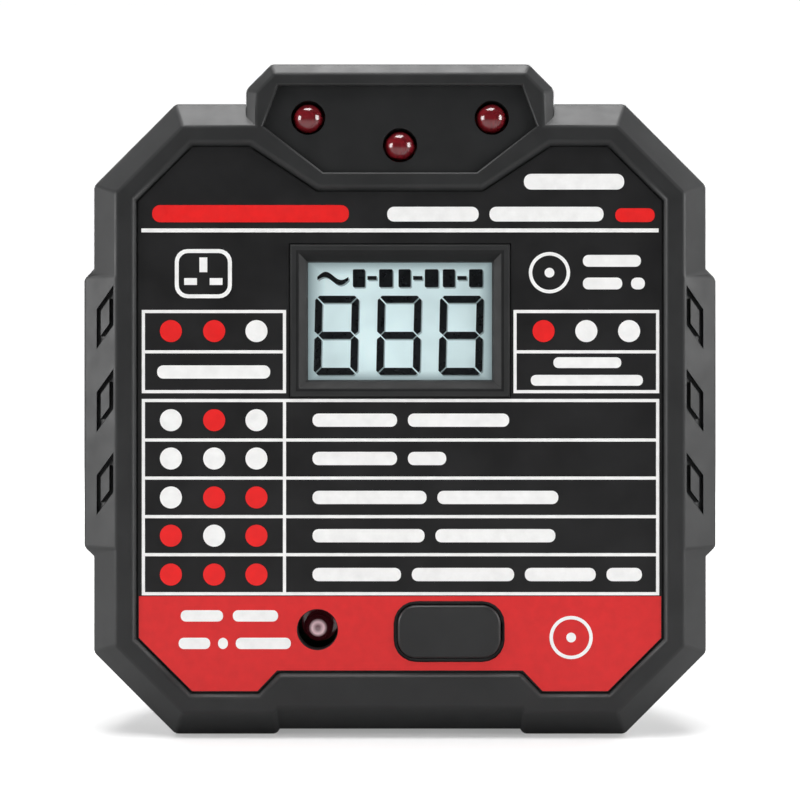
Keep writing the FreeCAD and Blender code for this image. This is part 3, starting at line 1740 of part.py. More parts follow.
def build_components():
    """Mains and logic parts of the board, each with its own legs."""
    load = axial_component("load", "load", "x", "Size.load_x", "Size.load_z")
    piece(load, "load_resistor")
    fuse_part = axial_component("fusible", "fuse", "z", "Size.fuse_x", "Size.fuse_z")
    piece(fuse_part, "fusible_resistor")
    diodes = []
    for number in range(DIODE_COUNT):
        z = f"(Size.diode_z + {number} * Size.diode_pitch)"
        diodes.append(axial_component(f"diode_{number + 1}", "diode", "x", "Size.diode_x", z))
    piece(group("diodes", diodes), "rectifier_diodes")

    film = box(
        "film_case",
        ("Size.film_x - Size.film_half_width", "Size.film_x + Size.film_half_width"),
        ("Size.part_lift_y", "Size.film_far_y"),
        ("Size.film_z - Size.film_half_depth", "Size.film_z + Size.film_half_depth"),
    )
    film_legs = [
        part_leg(
            f"film_leg_{'right' if side > 0 else 'left'}",
            f"Size.film_x + {side} * Size.film_span",
            "Size.film_z",
            "Size.part_lift_y + Size.past",
        )
        for side in SIDES
    ]
    piece(fuse("film", [film] + film_legs), "dropper_capacitor")

    drum = turned(
        "drum_can",
        [
            ("0", "Size.part_lift_y"),
            ("Size.drum_radius", "Size.part_lift_y"),
            ("Size.drum_radius", "Size.drum_far_y"),
            ("0", "Size.drum_far_y"),
        ],
        "Size.drum_x",
        "Size.drum_z",
    )

    def is_ring(edge):
        return edge.Curve.TypeId == "Part::GeomCircle"

    round_edges(drum, drum.Tip, is_ring, "Size.drum_edge")
    drum_legs = [
        part_leg(
            f"drum_leg_{'right' if side > 0 else 'left'}",
            f"Size.drum_x + {side} * Size.drum_span",
            "Size.drum_z",
            "Size.part_lift_y + Size.past",
        )
        for side in SIDES
    ]
    piece(fuse("drum", [drum] + drum_legs), "filter_capacitor")

    case = rod(
        "triac_case",
        "Size.triac_radius",
        ("Size.triac_x", "Size.triac_near_y", "Size.triac_z"),
        "Size.triac_far_y - Size.triac_near_y",
    )
    flat = box(
        "triac_flat_side",
        ("Size.triac_x - 2 * Size.triac_radius", "Size.triac_x + 2 * Size.triac_radius"),
        ("Size.triac_near_y - Size.past", "Size.triac_far_y + Size.past"),
        ("Size.triac_z + Size.triac_flat", "Size.triac_z + 2 * Size.triac_radius"),
    )
    triac_legs = [
        part_leg(
            f"triac_leg_{step + 2}",
            f"Size.triac_x + {step} * Size.triac_span",
            "Size.triac_z",
            "Size.triac_near_y + Size.past",
        )
        for step in (-1, 0, 1)
    ]
    triac = fuse("triac", [cut("triac_body", case, [flat])] + triac_legs)
    piece(triac, "test_triac")

    chip = box(
        "chip_case",
        ("Size.chip_x - Size.chip_half_width", "Size.chip_x + Size.chip_half_width"),
        ("Size.chip_far_y", "Size.chip_near_y"),
        ("Size.chip_z - Size.chip_half_height", "Size.chip_z + Size.chip_half_height"),
    )
    chip_legs = []
    for number in range(CHIP_LEG_ROWS):
        middle = f"(Size.chip_x + ({number} - ({CHIP_LEG_ROWS} - 1) / 2) * Size.chip_leg_pitch)"
        across = (f"{middle} - Size.chip_leg_half", f"{middle} + Size.chip_leg_half")
        rise = ("Size.chip_leg_rise_y - Size.chip_leg_gauge", "Size.chip_leg_rise_y")
        foot = ("Size.board_front_y - Size.chip_leg_gauge", "Size.board_front_y")
        knee = "(Size.chip_half_height + 2 * Size.chip_leg_half)"
        full = ("Size.chip_leg_rise_y - Size.chip_leg_gauge", "Size.board_front_y")
        wide = (f"Size.chip_z - {knee}", f"Size.chip_z + {knee}")
        chip_legs.append(box(f"chip_arm_{number + 1}", across, rise, wide))
        for level in SIDES:
            name = f"{number + 1}_{'top' if level > 0 else 'low'}"
            shin = [
                f"Size.chip_z + {level} * ({knee} - Size.chip_leg_gauge)",
                f"Size.chip_z + {level} * {knee}",
            ]
            toe = [
                f"Size.chip_z + {level} * ({knee} - Size.chip_leg_gauge)",
                f"Size.chip_z + {level} * Size.chip_leg_reach",
            ]
            chip_legs.append(box(f"chip_shin_{name}", across, full, tuple(shin[::level])))
            chip_legs.append(box(f"chip_toe_{name}", across, foot, tuple(toe[::level])))
    piece(fuse("chip", [chip] + chip_legs), "microcontroller")


def build_main_board():
    """Board with a tab up into the lamp head, screw holes and leg holes."""
    right = [
        ("Size.tab_side", "Size.tab_top"),
        ("Size.tab_side", "Size.board_top"),
        ("Size.board_side - Size.board_corner", "Size.board_top"),
        ("Size.board_side", "Size.board_top - Size.board_corner"),
        ("Size.board_side", "-Size.board_bottom + Size.board_corner"),
        ("Size.board_side - Size.board_corner", "-Size.board_bottom"),
    ]
    left = [(f"-({x})", z) for x, z in reversed(right)]
    thickness = "Size.board_rear_y - Size.board_front_y"
    sketch = polygon("board_outline", right + left, y="Size.board_front_y")
    blank = extrude("board_blank", sketch, Vector(0, 1, 0), thickness)
    through = f"{thickness} + 2 * Size.past"
    start_y = "Size.board_front_y - Size.past"
    holes = []
    for number, (x, z) in enumerate(BOARD_POSTS, 1):
        holes.append(rod(f"board_hole_{number}", "Size.clear_radius", (x, start_y, z), through))
    for number, (x, z) in enumerate(board_holes, 1):
        holes.append(rod(f"leg_hole_{number}", "Size.hole_radius", (x, start_y, z), through))
    piece(cut("board", blank, holes), "main_board")


def build_lead(name, x, z, shift):
    """Insulated wire from a pin tail to the board, with one slanted stretch."""
    far_x = f"{x} + {shift}"
    path = doc.addObject("Sketcher::SketchObject", f"{name}_path")
    points = [
        (x, "Size.lead_start_y"),
        (x, "Size.lead_bend_y"),
        (far_x, "Size.lead_level_y"),
        (far_x, "Size.lead_end_y"),
    ]
    for i in range(3):
        path.addGeometry(Part.LineSegment(Vector(i, i * i, 0), Vector(i + 1, (i + 1) ** 2, 0)))
    for i in range(2):
        path.addConstraint(Sketcher.Constraint("Coincident", i, 2, i + 1, 1))
    ends = [(0, 1), (1, 1), (2, 1), (2, 2)]
    for (line, end), (across, along) in zip(ends, points):
        for kind, expression in (("DistanceX", across), ("DistanceY", along)):
            index = path.addConstraint(Sketcher.Constraint(kind, line, end, 1.0))
            path.setExpression(f"Constraints[{index}]", expression)
    path.setExpression("Placement.Base.z", z)
    circle = doc.addObject("Sketcher::SketchObject", f"{name}_section")
    circle.addGeometry(Part.Circle(Vector(), Vector(0, 0, 1), 1.0))
    index = circle.addConstraint(Sketcher.Constraint("Radius", 0, 1.0))
    circle.setExpression(f"Constraints[{index}]", "Size.lead_radius")
    circle.addConstraint(Sketcher.Constraint("Coincident", 0, 3, -1, 1))
    circle.Placement = Placement(Vector(), UPRIGHT)
    set_base(circle, x, "Size.lead_start_y", z)
    doc.recompute()
    sweep = doc.addObject("Part::Sweep", f"{name}_sweep")
    sweep.Sections = [circle]
    sweep.Spine = (path, ["Edge1", "Edge2", "Edge3"])
    sweep.Solid = True
    sweep.Transition = "Round corner"
    piece(sweep, name)


def build_leads():
    """One lead for each pin."""
    shifts = {
        "live_pin": "Size.lead_shift",
        "neutral_pin": "-Size.lead_shift",
        "earth_pin": "Size.earth_lead_shift",
    }
    for pin, (x, z, _) in PINS.items():
        build_lead(pin.replace("pin", "wire"), x, z, shifts[pin])


# ------------------------------------------------------------------- build

build_front_cover()
build_front_label()
build_rear_housing()
build_pin_carrier()
build_pin_retainer()
for pin in PINS:
    build_pin(pin)
build_screws()
build_display()
build_lamps()
build_test_button()
build_switch()
build_components()
build_main_board()
build_leads()
doc.recompute()

failed = [item.Label for item in doc.Objects if {"Invalid", "Error"} & set(item.State)]
for item in pieces:
    if item.Shape.isNull() or not item.Shape.isValid():
        failed.append(item.Label)
if failed:
    raise RuntimeError(f"features that failed: {sorted(set(failed))}")

os.makedirs("parts", exist_ok=True)
for item in pieces:
    item.Shape.exportStep(f"parts/{item.Label}.step")
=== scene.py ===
import math

import bmesh
import bpy
from mathutils import Matrix, Vector
from mathutils.bvhtree import BVHTree


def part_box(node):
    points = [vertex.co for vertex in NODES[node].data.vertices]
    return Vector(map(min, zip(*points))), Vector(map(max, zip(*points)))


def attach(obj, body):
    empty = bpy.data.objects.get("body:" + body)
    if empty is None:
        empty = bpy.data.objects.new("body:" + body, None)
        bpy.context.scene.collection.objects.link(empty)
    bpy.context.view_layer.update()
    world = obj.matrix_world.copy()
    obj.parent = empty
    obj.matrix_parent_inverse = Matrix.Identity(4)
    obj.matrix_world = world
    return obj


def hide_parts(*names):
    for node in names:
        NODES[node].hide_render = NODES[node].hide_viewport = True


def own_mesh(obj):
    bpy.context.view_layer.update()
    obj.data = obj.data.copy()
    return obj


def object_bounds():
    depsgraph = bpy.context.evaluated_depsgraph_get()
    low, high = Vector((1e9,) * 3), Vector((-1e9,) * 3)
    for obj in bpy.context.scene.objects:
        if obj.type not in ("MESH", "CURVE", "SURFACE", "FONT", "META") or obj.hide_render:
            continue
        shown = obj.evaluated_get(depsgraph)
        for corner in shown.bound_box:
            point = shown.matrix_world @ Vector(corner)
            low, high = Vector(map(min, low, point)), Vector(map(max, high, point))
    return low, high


# Looks of a socket tester. Sizes are in millimetres until they reach a mesh.
# Positions follow the part's frame: front at -Y, pins along +Y, +Z up.

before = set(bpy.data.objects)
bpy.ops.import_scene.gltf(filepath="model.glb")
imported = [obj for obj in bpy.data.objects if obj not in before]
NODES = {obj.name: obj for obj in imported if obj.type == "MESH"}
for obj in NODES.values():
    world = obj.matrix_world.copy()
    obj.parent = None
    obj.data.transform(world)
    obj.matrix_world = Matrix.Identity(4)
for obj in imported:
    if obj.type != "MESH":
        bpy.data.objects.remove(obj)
cad_low, cad_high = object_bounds()
MM = 0.001
WHITE_INK = (0.95, 0.95, 0.94)
RED_INK = (0.84, 0.013, 0.013)
BAND_RED = (0.70, 0.021, 0.022)
BLACK_PLASTIC = (0.0275, 0.028, 0.0285)
WHITE_LIGHT = (1, 1, 1, 1)
LAMP_RED = (0.62, 0.03, 0.05)
LAMPS = ("neutral_led", "earth_led", "live_led", "rcd_led")
FAULT_LAMP_X, FAULT_LAMP_Z = -8.4, -22.8
LENS_INDEX = 1.5
CELL_MIDDLE_Z = 8.6


# ------------------------------------------------------------------ shaders


MIX_SHARE, MIX_FIRST, MIX_SECOND, MIX_COLOUR = 0, 6, 7, 2
EDGE_LOW, EDGE_HIGH = 0.02, 0.25


class Shader:
    """Principled material with procedural layers driven by object coordinates."""

    def __init__(self, name, colour, roughness):
        self.material = bpy.data.materials.new(name)
        self.material.use_nodes = True
        self.tree = self.material.node_tree
        self.surface = self.tree.nodes["Principled BSDF"]
        self.coords = self.add("ShaderNodeTexCoord").outputs["Object"]
        self.set(**{"Base Color": (*colour, 1.0), "Roughness": roughness})
        self.material.diffuse_color = (*colour, 1.0)

    def add(self, kind, inputs=None, **settings):
        """New shader node with its settings and inputs filled in."""
        made = self.tree.nodes.new(kind)
        for name, value in settings.items():
            setattr(made, name, value)
        for name, value in (inputs or {}).items():
            self.feed(made.inputs[name], value)
        return made

    def compute(self, operation, *values):
        """Result of a math node."""
        return self.add("ShaderNodeMath", dict(enumerate(values)), operation=operation).outputs[0]

    def feed(self, socket, value):
        """Link a socket into an input, or give the input a plain value."""
        if isinstance(value, bpy.types.NodeSocket):
            self.tree.links.new(value, socket)
        else:
            socket.default_value = value

    def set(self, **values):
        """Feed inputs of the principled surface."""
        for name, value in values.items():
            self.feed(self.surface.inputs[name], value)

    def show(self, shading):
        """Use a shading in place of the principled one."""
        self.tree.links.new(shading, self.tree.nodes["Material Output"].inputs["Surface"])

    def noise(self, scale, detail=3.0, stretch=None):
        """Smooth noise, stretched along an axis if asked."""
        coords = self.coords
        if stretch:
            coords = self.add("ShaderNodeMapping", {"Vector": coords, "Scale": stretch}).outputs[0]
        inputs = {"Vector": coords, "Scale": scale, "Detail": detail, "Roughness": 0.55}
        return self.add("ShaderNodeTexNoise", inputs).outputs["Fac"]

    def remap(self, value, low, high, start=0.3, end=0.7):
        """Value stretched from one range to another and held at its ends."""
        inputs = {"Value": value, "From Min": start, "From Max": end, "To Min": low, "To Max": high}
        return self.add("ShaderNodeMapRange", inputs, clamp=True).outputs["Result"]

    def blend(self, share, first, second):
        """Colour between two colours by a share."""
        inputs = {MIX_SHARE: share, MIX_FIRST: first, MIX_SECOND: second}
        return self.add("ShaderNodeMix", inputs, data_type="RGBA").outputs[MIX_COLOUR]

    def vary(self, colour, scale, amount):
        """Base colour that drifts a little lighter and darker."""
        drift = self.noise(scale)
        dark = [channel * (1 - amount) for channel in colour] + [1.0]
        light = [min(1.0, channel * (1 + amount)) for channel in colour] + [1.0]
        tone = self.blend(self.remap(drift, 0.0, 1.0), dark, light)
        self.set(**{"Base Color": tone})
        return tone

    def rough(self, scale, low, high):
        """Roughness that drifts between two values."""
        self.set(Roughness=self.remap(self.noise(scale), low, high))

    def bump(self, height, strength, depth, normal=None):
        """Fine relief of a depth in millimetres, laid over an earlier one if given."""
        inputs = {"Height": height, "Strength": strength, "Distance": depth * MM}
        if normal:
            inputs["Normal"] = normal
        result = self.add("ShaderNodeBump", inputs).outputs["Normal"]
        self.set(Normal=result)
        return result

    def edge_share(self, radius):
        """Share that rises towards the sharp edges of the form."""
        rounded = self.add("ShaderNodeBevel", {"Radius": radius * MM}, samples=6).outputs[0]
        flat = self.add("ShaderNodeNewGeometry").outputs["True Normal"]
        dot = self.add(
            "ShaderNodeVectorMath", {0: rounded, 1: flat}, operation="DOT_PRODUCT"
        ).outputs["Value"]
        return self.remap(dot, EDGE_HIGH, 0.0, 1 - EDGE_HIGH, 1 - EDGE_LOW)


def moulded(name, colour, roughness=0.42, grain=0.10, wear_and_sheen=0.0, spec=0.5):
    """Moulded plastic with a fine spark-eroded grain and lighter edges that are partly handling
    wear, partly a painted highlight.
    """
    shader = Shader(name, colour, roughness)
    tone = shader.vary(colour, 260.0, 0.10)
    shader.rough(420.0, roughness - 0.05, roughness + 0.06)
    fine = shader.noise(5200.0, detail=2.0)
    broad = shader.noise(900.0, detail=3.0)
    shader.bump(broad, 0.06, 0.05, shader.bump(fine, grain, 0.03))
    shader.set(**{"Specular IOR Level": spec})
    # Lighter, patchy edge colour: partly handling wear, partly a painted highlight where the rims
    # catch the light.
    if wear_and_sheen:
        share = shader.edge_share(0.35)
        patchy = shader.remap(shader.noise(700.0, detail=4.0), 0.0, wear_and_sheen, 0.42, 0.68)
        wear_and_sheen_mask = shader.compute("MULTIPLY", share, patchy)
        light = [min(1.0, channel * 3.0 + 0.03) for channel in colour] + [1.0]
        shader.set(**{"Base Color": shader.blend(wear_and_sheen_mask, tone, light)})
    return shader.material


def ink(name, colour, roughness=0.45):
    """Screen-printed ink with slight unevenness."""
    shader = Shader(name, colour, roughness)
    shader.vary(colour, 900.0, 0.05)
    shader.rough(1500.0, roughness - 0.06, roughness + 0.06)
    shader.bump(shader.noise(4200.0, detail=2.0), 0.08, 0.01)
    shader.set(**{"Specular IOR Level": 0.4})
    return shader.material


def film(name, colour):
    """Polycarbonate overlay: nearly black with a fine velvet texture and faint mottling."""
    shader = Shader(name, colour, 0.5)
    shader.vary(colour, 180.0, 0.22)
    shader.rough(350.0, 0.40, 0.52)
    shader.bump(shader.noise(7000.0, detail=1.0), 0.12, 0.02)
    shader.set(**{"Specular IOR Level": 0.2})
    return shader.material


def metal(name, colour, roughness, stretch=(1, 1, 1), scratch=0.12):
    """Plated or bare metal with fine scratches along one direction."""
    shader = Shader(name, colour, roughness)
    shader.vary(colour, 300.0, 0.04)
    lines = shader.noise(2600.0, detail=4.0, stretch=stretch)
    smear = shader.noise(240.0, detail=3.0)
    low, high = roughness * 0.6, roughness * 1.8 + 0.03
    shader.set(Roughness=shader.remap(smear, low, high), Metallic=1.0)
    shader.bump(lines, scratch, 0.01)
    return shader.material


def tinted_lens(name, colour, roughness):
    """Tinted clear plastic with faint surface waviness."""
    shader = Shader(name, colour, roughness)
    shader.set(**{"Transmission Weight": 0.80, "IOR": LENS_INDEX, "Coat Weight": 0.8})
    shader.rough(500.0, roughness, roughness + 0.05)
    shader.bump(shader.noise(380.0, detail=1.0), 0.03, 0.03)
    return shader.material


def lens_with_painted_glint(name, x, z):
    """Clear lamp lens down a dark hole: its pale glowing ring in the middle is a painted highlight,
    and painted shade darkens it towards the hole's edge.
    """
    shader = Shader(name, LAMP_RED, 0.10)
    flat = shader.add(
        "ShaderNodeVectorMath", {0: shader.coords, 1: (1, 0, 1)}, operation="MULTIPLY"
    ).outputs["Vector"]
    away = shader.add(
        "ShaderNodeVectorMath", {0: flat, 1: (x * MM, 0, z * MM)}, operation="DISTANCE"
    ).outputs["Value"]
    # Painted highlight: a darker middle inside a pale ring, standing for reflections of the lights.
    painted_glint_share = shader.remap(away, 0.0, 1.0, 0.22 * MM, 0.58 * MM)
    painted_glint_tone = shader.blend(painted_glint_share, (0.20, 0.11, 0.125, 1), (0.80, 0.56, 0.60, 1))
    # Painted shade: the lens turns nearly black towards the hole's edge.
    painted_hole_shade = shader.remap(away, 0.0, 1.0, 0.64 * MM, 0.94 * MM)
    tone = shader.blend(painted_hole_shade, painted_glint_tone, (0.035, 0.004, 0.006, 1))
    # The emission is a painted glow that carries the painted highlight.
    shader.set(**{"Base Color": tone, "Emission Color": tone, "Emission Strength": 0.40})
    shader.set(**{"IOR": LENS_INDEX, "Coat Weight": 0.8})
    return shader.material


def window_sheet(name):
    """Clear lens that lets light straight through and reflects at grazing angles."""
    shader = Shader(name, (0.95, 0.97, 0.98), 0.06)
    smudge = shader.remap(shader.noise(260.0, detail=4.0), 0.03, 0.14)
    normal = shader.add(
        "ShaderNodeBump",
        {"Height": shader.noise(300.0, detail=1.0), "Strength": 0.05, "Distance": 0.02 * MM},
    ).outputs[0]
    fresnel = shader.add("ShaderNodeFresnel", {"IOR": 1.45, "Normal": normal}).outputs[0]
    behind = shader.add("ShaderNodeNewGeometry").outputs["Backfacing"]
    share = shader.add(
        "ShaderNodeMapRange", {"Value": behind, "To Min": fresnel, "To Max": 0.0}
    ).outputs["Result"]
    clear = shader.add("ShaderNodeBsdfTransparent", {"Color": (0.97, 0.985, 0.985, 1)}).outputs[0]
    shine = shader.add("ShaderNodeBsdfGlossy", {"Roughness": smudge, "Normal": normal}).outputs[0]
    shader.show(shader.add("ShaderNodeMixShader", {0: share, 1: clear, 2: shine}).outputs[0])
    return shader.material


def display_cell(name):
    """Reflective liquid-crystal cell: pale blue-grey and brighter in the middle, with painted shade
    towards its borders and a painted glow.
    """
    shader = Shader(name, (0.56, 0.66, 0.68), 0.35)
    split = shader.add("ShaderNodeSeparateXYZ", {"Vector": shader.coords})
    away_x = shader.compute("ABSOLUTE", split.outputs["X"])
    side = shader.remap(away_x, 0.0, 1.0, 7.6 * MM, 9.6 * MM)
    off_z = shader.compute("SUBTRACT", split.outputs["Z"], CELL_MIDDLE_Z * MM)
    away_z = shader.compute("ABSOLUTE", off_z)
    end = shader.remap(away_z, 0.0, 1.0, 4.7 * MM, 6.3 * MM)
    shade = shader.compute("MAXIMUM", side, end)
    cloud = shader.remap(shader.noise(170.0, detail=2.0), 0.0, 0.35)
    share = shader.compute("MAXIMUM", shade, cloud)
    tone = shader.blend(share, (0.60, 0.705, 0.72, 1), (0.21, 0.27, 0.285, 1))
    # Painted shade darkens the borders next to the frame, and the emission is a painted glow.
    shader.set(**{"Base Color": tone, "Emission Color": tone, "Emission Strength": 0.62})
    shader.bump(shader.noise(6000.0, detail=1.0), 0.05, 0.01)
    return shader.material


def laminate(name):
    """Green solder mask over copper tracks."""
    shader = Shader(name, (0.02, 0.12, 0.05), 0.3)
    cells = shader.add(
        "ShaderNodeTexVoronoi",
        {"Vector": shader.coords, "Scale": 260.0},
        feature="DISTANCE_TO_EDGE",
    ).outputs["Distance"]
    track = shader.remap(cells, 1.0, 0.0, 0.05, 0.09)
    tone = shader.blend(track, (0.012, 0.085, 0.035, 1), (0.03, 0.20, 0.07, 1))
    shader.set(**{"Base Color": tone, "Coat Weight": 0.4})
    shader.bump(track, 0.3, 0.04)
    return shader.material


def banded(name, colour, stripes, axis, pitch):
    """Component coating with painted rings along one axis."""
    shader = Shader(name, colour, 0.4)
    split = shader.add("ShaderNodeSeparateXYZ", {"Vector": shader.coords})
    wave = shader.compute("MULTIPLY", split.outputs[axis], 2 * math.pi / (pitch * MM))
    ripple = shader.compute("SINE", wave)
    share = shader.remap(ripple, 0.0, 1.0, 0.70, 0.78)
    shader.set(**{"Base Color": shader.blend(share, (*colour, 1), (*stripes, 1))})
    shader.bump(shader.noise(1400.0), 0.1, 0.03)
    return shader.material


CASING = moulded("casing_black", BLACK_PLASTIC, 0.42, 0.10, wear_and_sheen=0.30, spec=0.28)
CARRIER = moulded("carrier_black", (0.034, 0.0345, 0.035), 0.50, 0.16, wear_and_sheen=0.2)
BUTTON = moulded("button_grey", (0.026, 0.0265, 0.027), 0.38, 0.05, wear_and_sheen=0.2, spec=0.3)
HEAD_FACE = moulded("head_face", (0.0205, 0.021, 0.0215), 0.46, 0.14, spec=0.22)
# Darker look for the slopes round the display: painted shade, darkening slopes that the lamps
# light.
FRAME_PAINTED_SHADE = moulded("frame_painted_shade", (0.0150, 0.0153, 0.0157), 0.46, 0.14, spec=0.16)
NICKEL = metal("pin_nickel", (0.80, 0.795, 0.785), 0.06, (1, 0.06, 1), 0.03)
STEEL = metal("zinc_steel", (0.56, 0.57, 0.58), 0.24, (0.2, 1, 1), 0.15)
TIN = metal("tinned_wire", (0.68, 0.68, 0.67), 0.30, (1, 0.1, 1), 0.1)
LENS = tinted_lens("lamp_lens", LAMP_RED, 0.10)
WHITE = ink("ink_white", WHITE_INK)
RED = ink("ink_red", RED_INK)
BAND = ink("ink_band", BAND_RED, 0.42)
SEGMENT = ink("segment_black", (0.006, 0.007, 0.009), 0.3)
GHOST = ink("segment_shadow", (0.40, 0.49, 0.51), 0.4)

LOOKS = {
    "front_cover": CASING,
    "rear_housing": CASING,
    "pin_carrier": CARRIER,
    "front_label": film("label_film", (0.0150, 0.0150, 0.0155)),
    "display_window": window_sheet("display_lens"),
    "lcd_glass": display_cell("display_cell"),
    "lcd_holder": moulded("holder_white", (0.72, 0.72, 0.70), 0.5),
    "backlight_diffuser": moulded("diffuser_white", (0.82, 0.85, 0.86), 0.35),
    "zebra_strips": moulded("contact_rubber", (0.09, 0.09, 0.10), 0.7, 0.3),
    "main_board": laminate("board_green"),
    "live_led": LENS,
    "earth_led": LENS,
    "neutral_led": LENS,
    "rcd_led": lens_with_painted_glint("fault_lens_painted_glint", FAULT_LAMP_X, FAULT_LAMP_Z),
    "led_legs": TIN,
    "live_pin": NICKEL,
    "neutral_pin": NICKEL,
    "earth_pin": NICKEL,
    "board_screws": STEEL,
    "carrier_screws": STEEL,
    "retainer_screws": STEEL,
    "test_button": BUTTON,
    "switch_base": moulded("switch_black", (0.025, 0.025, 0.026), 0.45),
    "switch_cover": metal("switch_steel", (0.66, 0.66, 0.68), 0.2, (0.1, 1, 1)),
    "switch_plunger": moulded("plunger_black", (0.04, 0.04, 0.042), 0.4),
    "switch_dome": metal("dome_steel", (0.72, 0.72, 0.73), 0.15),
    "switch_terminals": TIN,
    "pin_retainer": moulded("retainer_tan", (0.50, 0.46, 0.38), 0.5),
    "load_resistor": banded("resistor_coat", (0.30, 0.42, 0.50), (0.05, 0.03, 0.02), "X", 3.4),
    "fusible_resistor": banded("fuse_coat", (0.12, 0.32, 0.20), (0.5, 0.3, 0.05), "Z", 2.2),
    "dropper_capacitor": moulded("film_yellow", (0.62, 0.48, 0.06), 0.35),
    "filter_capacitor": moulded("drum_blue", (0.03, 0.05, 0.12), 0.3),
    "rectifier_diodes": banded("diode_coat", (0.03, 0.03, 0.035), (0.6, 0.6, 0.6), "X", 5.6),
    "microcontroller": moulded("chip_epoxy", (0.025, 0.025, 0.027), 0.55, 0.2),
    "test_triac": moulded("triac_epoxy", (0.028, 0.028, 0.03), 0.5, 0.2),
    "live_wire": moulded("wire_brown", (0.16, 0.06, 0.025), 0.35),
    "neutral_wire": moulded("wire_blue", (0.02, 0.09, 0.42), 0.35),
    "earth_wire": moulded("wire_green", (0.05, 0.30, 0.06), 0.35),
}


def dress(target, material):
    """Replace every material slot of an object by one material."""
    target.data.materials.clear()
    target.data.materials.append(material)


def link(name, data, material):
    """Object for a mesh, in one material."""
    made = bpy.data.objects.new(name, data)
    bpy.context.scene.collection.objects.link(made)
    dress(made, material)
    return made


def case_piece(name, data, material):
    """Own piece of the visual model, fixed to the casing."""
    made = link(name, data, material)
    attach(made, "case")
    return made


def stand_in(node, name, data):
    """Own piece that takes the place of a CAD node of the casing."""
    made = case_piece(name, data, LOOKS[node])
    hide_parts(node)
    return made


for node_name, look in LOOKS.items():
    dress(NODES[node_name], look)


# ------------------------------------------------------------ rounded skins


CURVED = math.radians(16)
STRIP_CURVED = math.radians(42)
FLUSH = math.radians(0.3)
WELD = 0.002
CLEARANCE = 0.02
SHORTEST_EDGE = 0.5
GRIP_INNER_X = 28.95
GRIP_BACK_Y = -33.4
GRIP_HALF_HEIGHT = 12.5
GRIP_LONGEST_EDGE = 5
GRIP_ROUNDING = 0.08
HEAD_FACE_Y = (-35.7, -35.5)
HEAD_FOOT_Z = 23.5
FRAME_HALF_WIDTH = 11.5
FRAME_Z = (0.0, 17.5)
FRAME_Y = (-36.0, -35.1)


def clean_copy(node):
    """Editable copy of a CAD node's mesh with its flat faces joined up."""
    mesh = bmesh.new()
    mesh.from_mesh(NODES[node].data)
    bmesh.ops.remove_doubles(mesh, verts=mesh.verts, dist=WELD * MM)
    bmesh.ops.dissolve_limit(mesh, angle_limit=FLUSH, verts=mesh.verts, edges=mesh.edges)
    return mesh


def outward(mesh):
    """Test of whether nothing of the same part stands in front of an edge."""
    tree = BVHTree.FromBMesh(mesh)

    def free(edge, toward, least):
        normal = (edge.link_faces[0].normal + edge.link_faces[1].normal).normalized()
        if normal.y * toward < least:
            return False
        middle = (edge.verts[0].co + edge.verts[1].co) / 2
        return tree.ray_cast(middle + normal * CLEARANCE * MM, normal)[0] is None

    return free


def corner_normals(mesh):
    """Normal of every face corner: an area-weighted mean over the smooth fan it belongs to."""
    normals = [None] * sum(len(face.loops) for face in mesh.faces)
    for vertex in mesh.verts:
        left = set(vertex.link_faces)
        while left:
            fan = [left.pop()]
            for face in fan:
                for edge in face.edges:
                    if vertex in edge.verts and edge.smooth:
                        for other in edge.link_faces:
                            if other in left:
                                left.remove(other)
                                fan.append(other)
            total = Vector()
            for face in fan:
                total += face.normal * face.calc_area()
            total = total.normalized() if total.length > 0 else fan[0].normal
            for face in fan:
                for loop in face.loops:
                    if loop.vert is vertex:
                        normals[loop.index] = total
    return normals


def round_off(mesh, edges, width, segments=3):
    """Bevel some edges and return the new faces."""
    return bmesh.ops.bevel(
        mesh,
        geom=edges,
        offset=width * MM,
        offset_type="OFFSET",
        segments=segments,
        profile=0.5,
        affect="EDGES",
        clamp_overlap=False,
    )["faces"]


def in_grip(edge):
    """Whether an edge bounds one of the small grooves of the side grips."""
    middle = (edge.verts[0].co + edge.verts[1].co) / 2 / MM
    near = abs(middle.x) > GRIP_INNER_X and abs(middle.z) < GRIP_HALF_HEIGHT
    return near and middle.y < GRIP_BACK_Y and edge.calc_length() < GRIP_LONGEST_EDGE * MM


def on_head_face(face):
    """Whether a face belongs to the recessed field round the three lamps."""
    place = face.center / MM
    level = HEAD_FACE_Y[0] < place.y < HEAD_FACE_Y[1]
    return level and place.z > HEAD_FOOT_Z and face.normal.y < -0.99


def on_frame_slope(face):
    """Whether a face belongs to the four slopes round the display."""
    place = face.center / MM
    near = abs(place.x) < FRAME_HALF_WIDTH and FRAME_Z[0] < place.z < FRAME_Z[1]
    return near and FRAME_Y[0] < place.y < FRAME_Y[1] and -0.95 < face.normal.y < -0.4


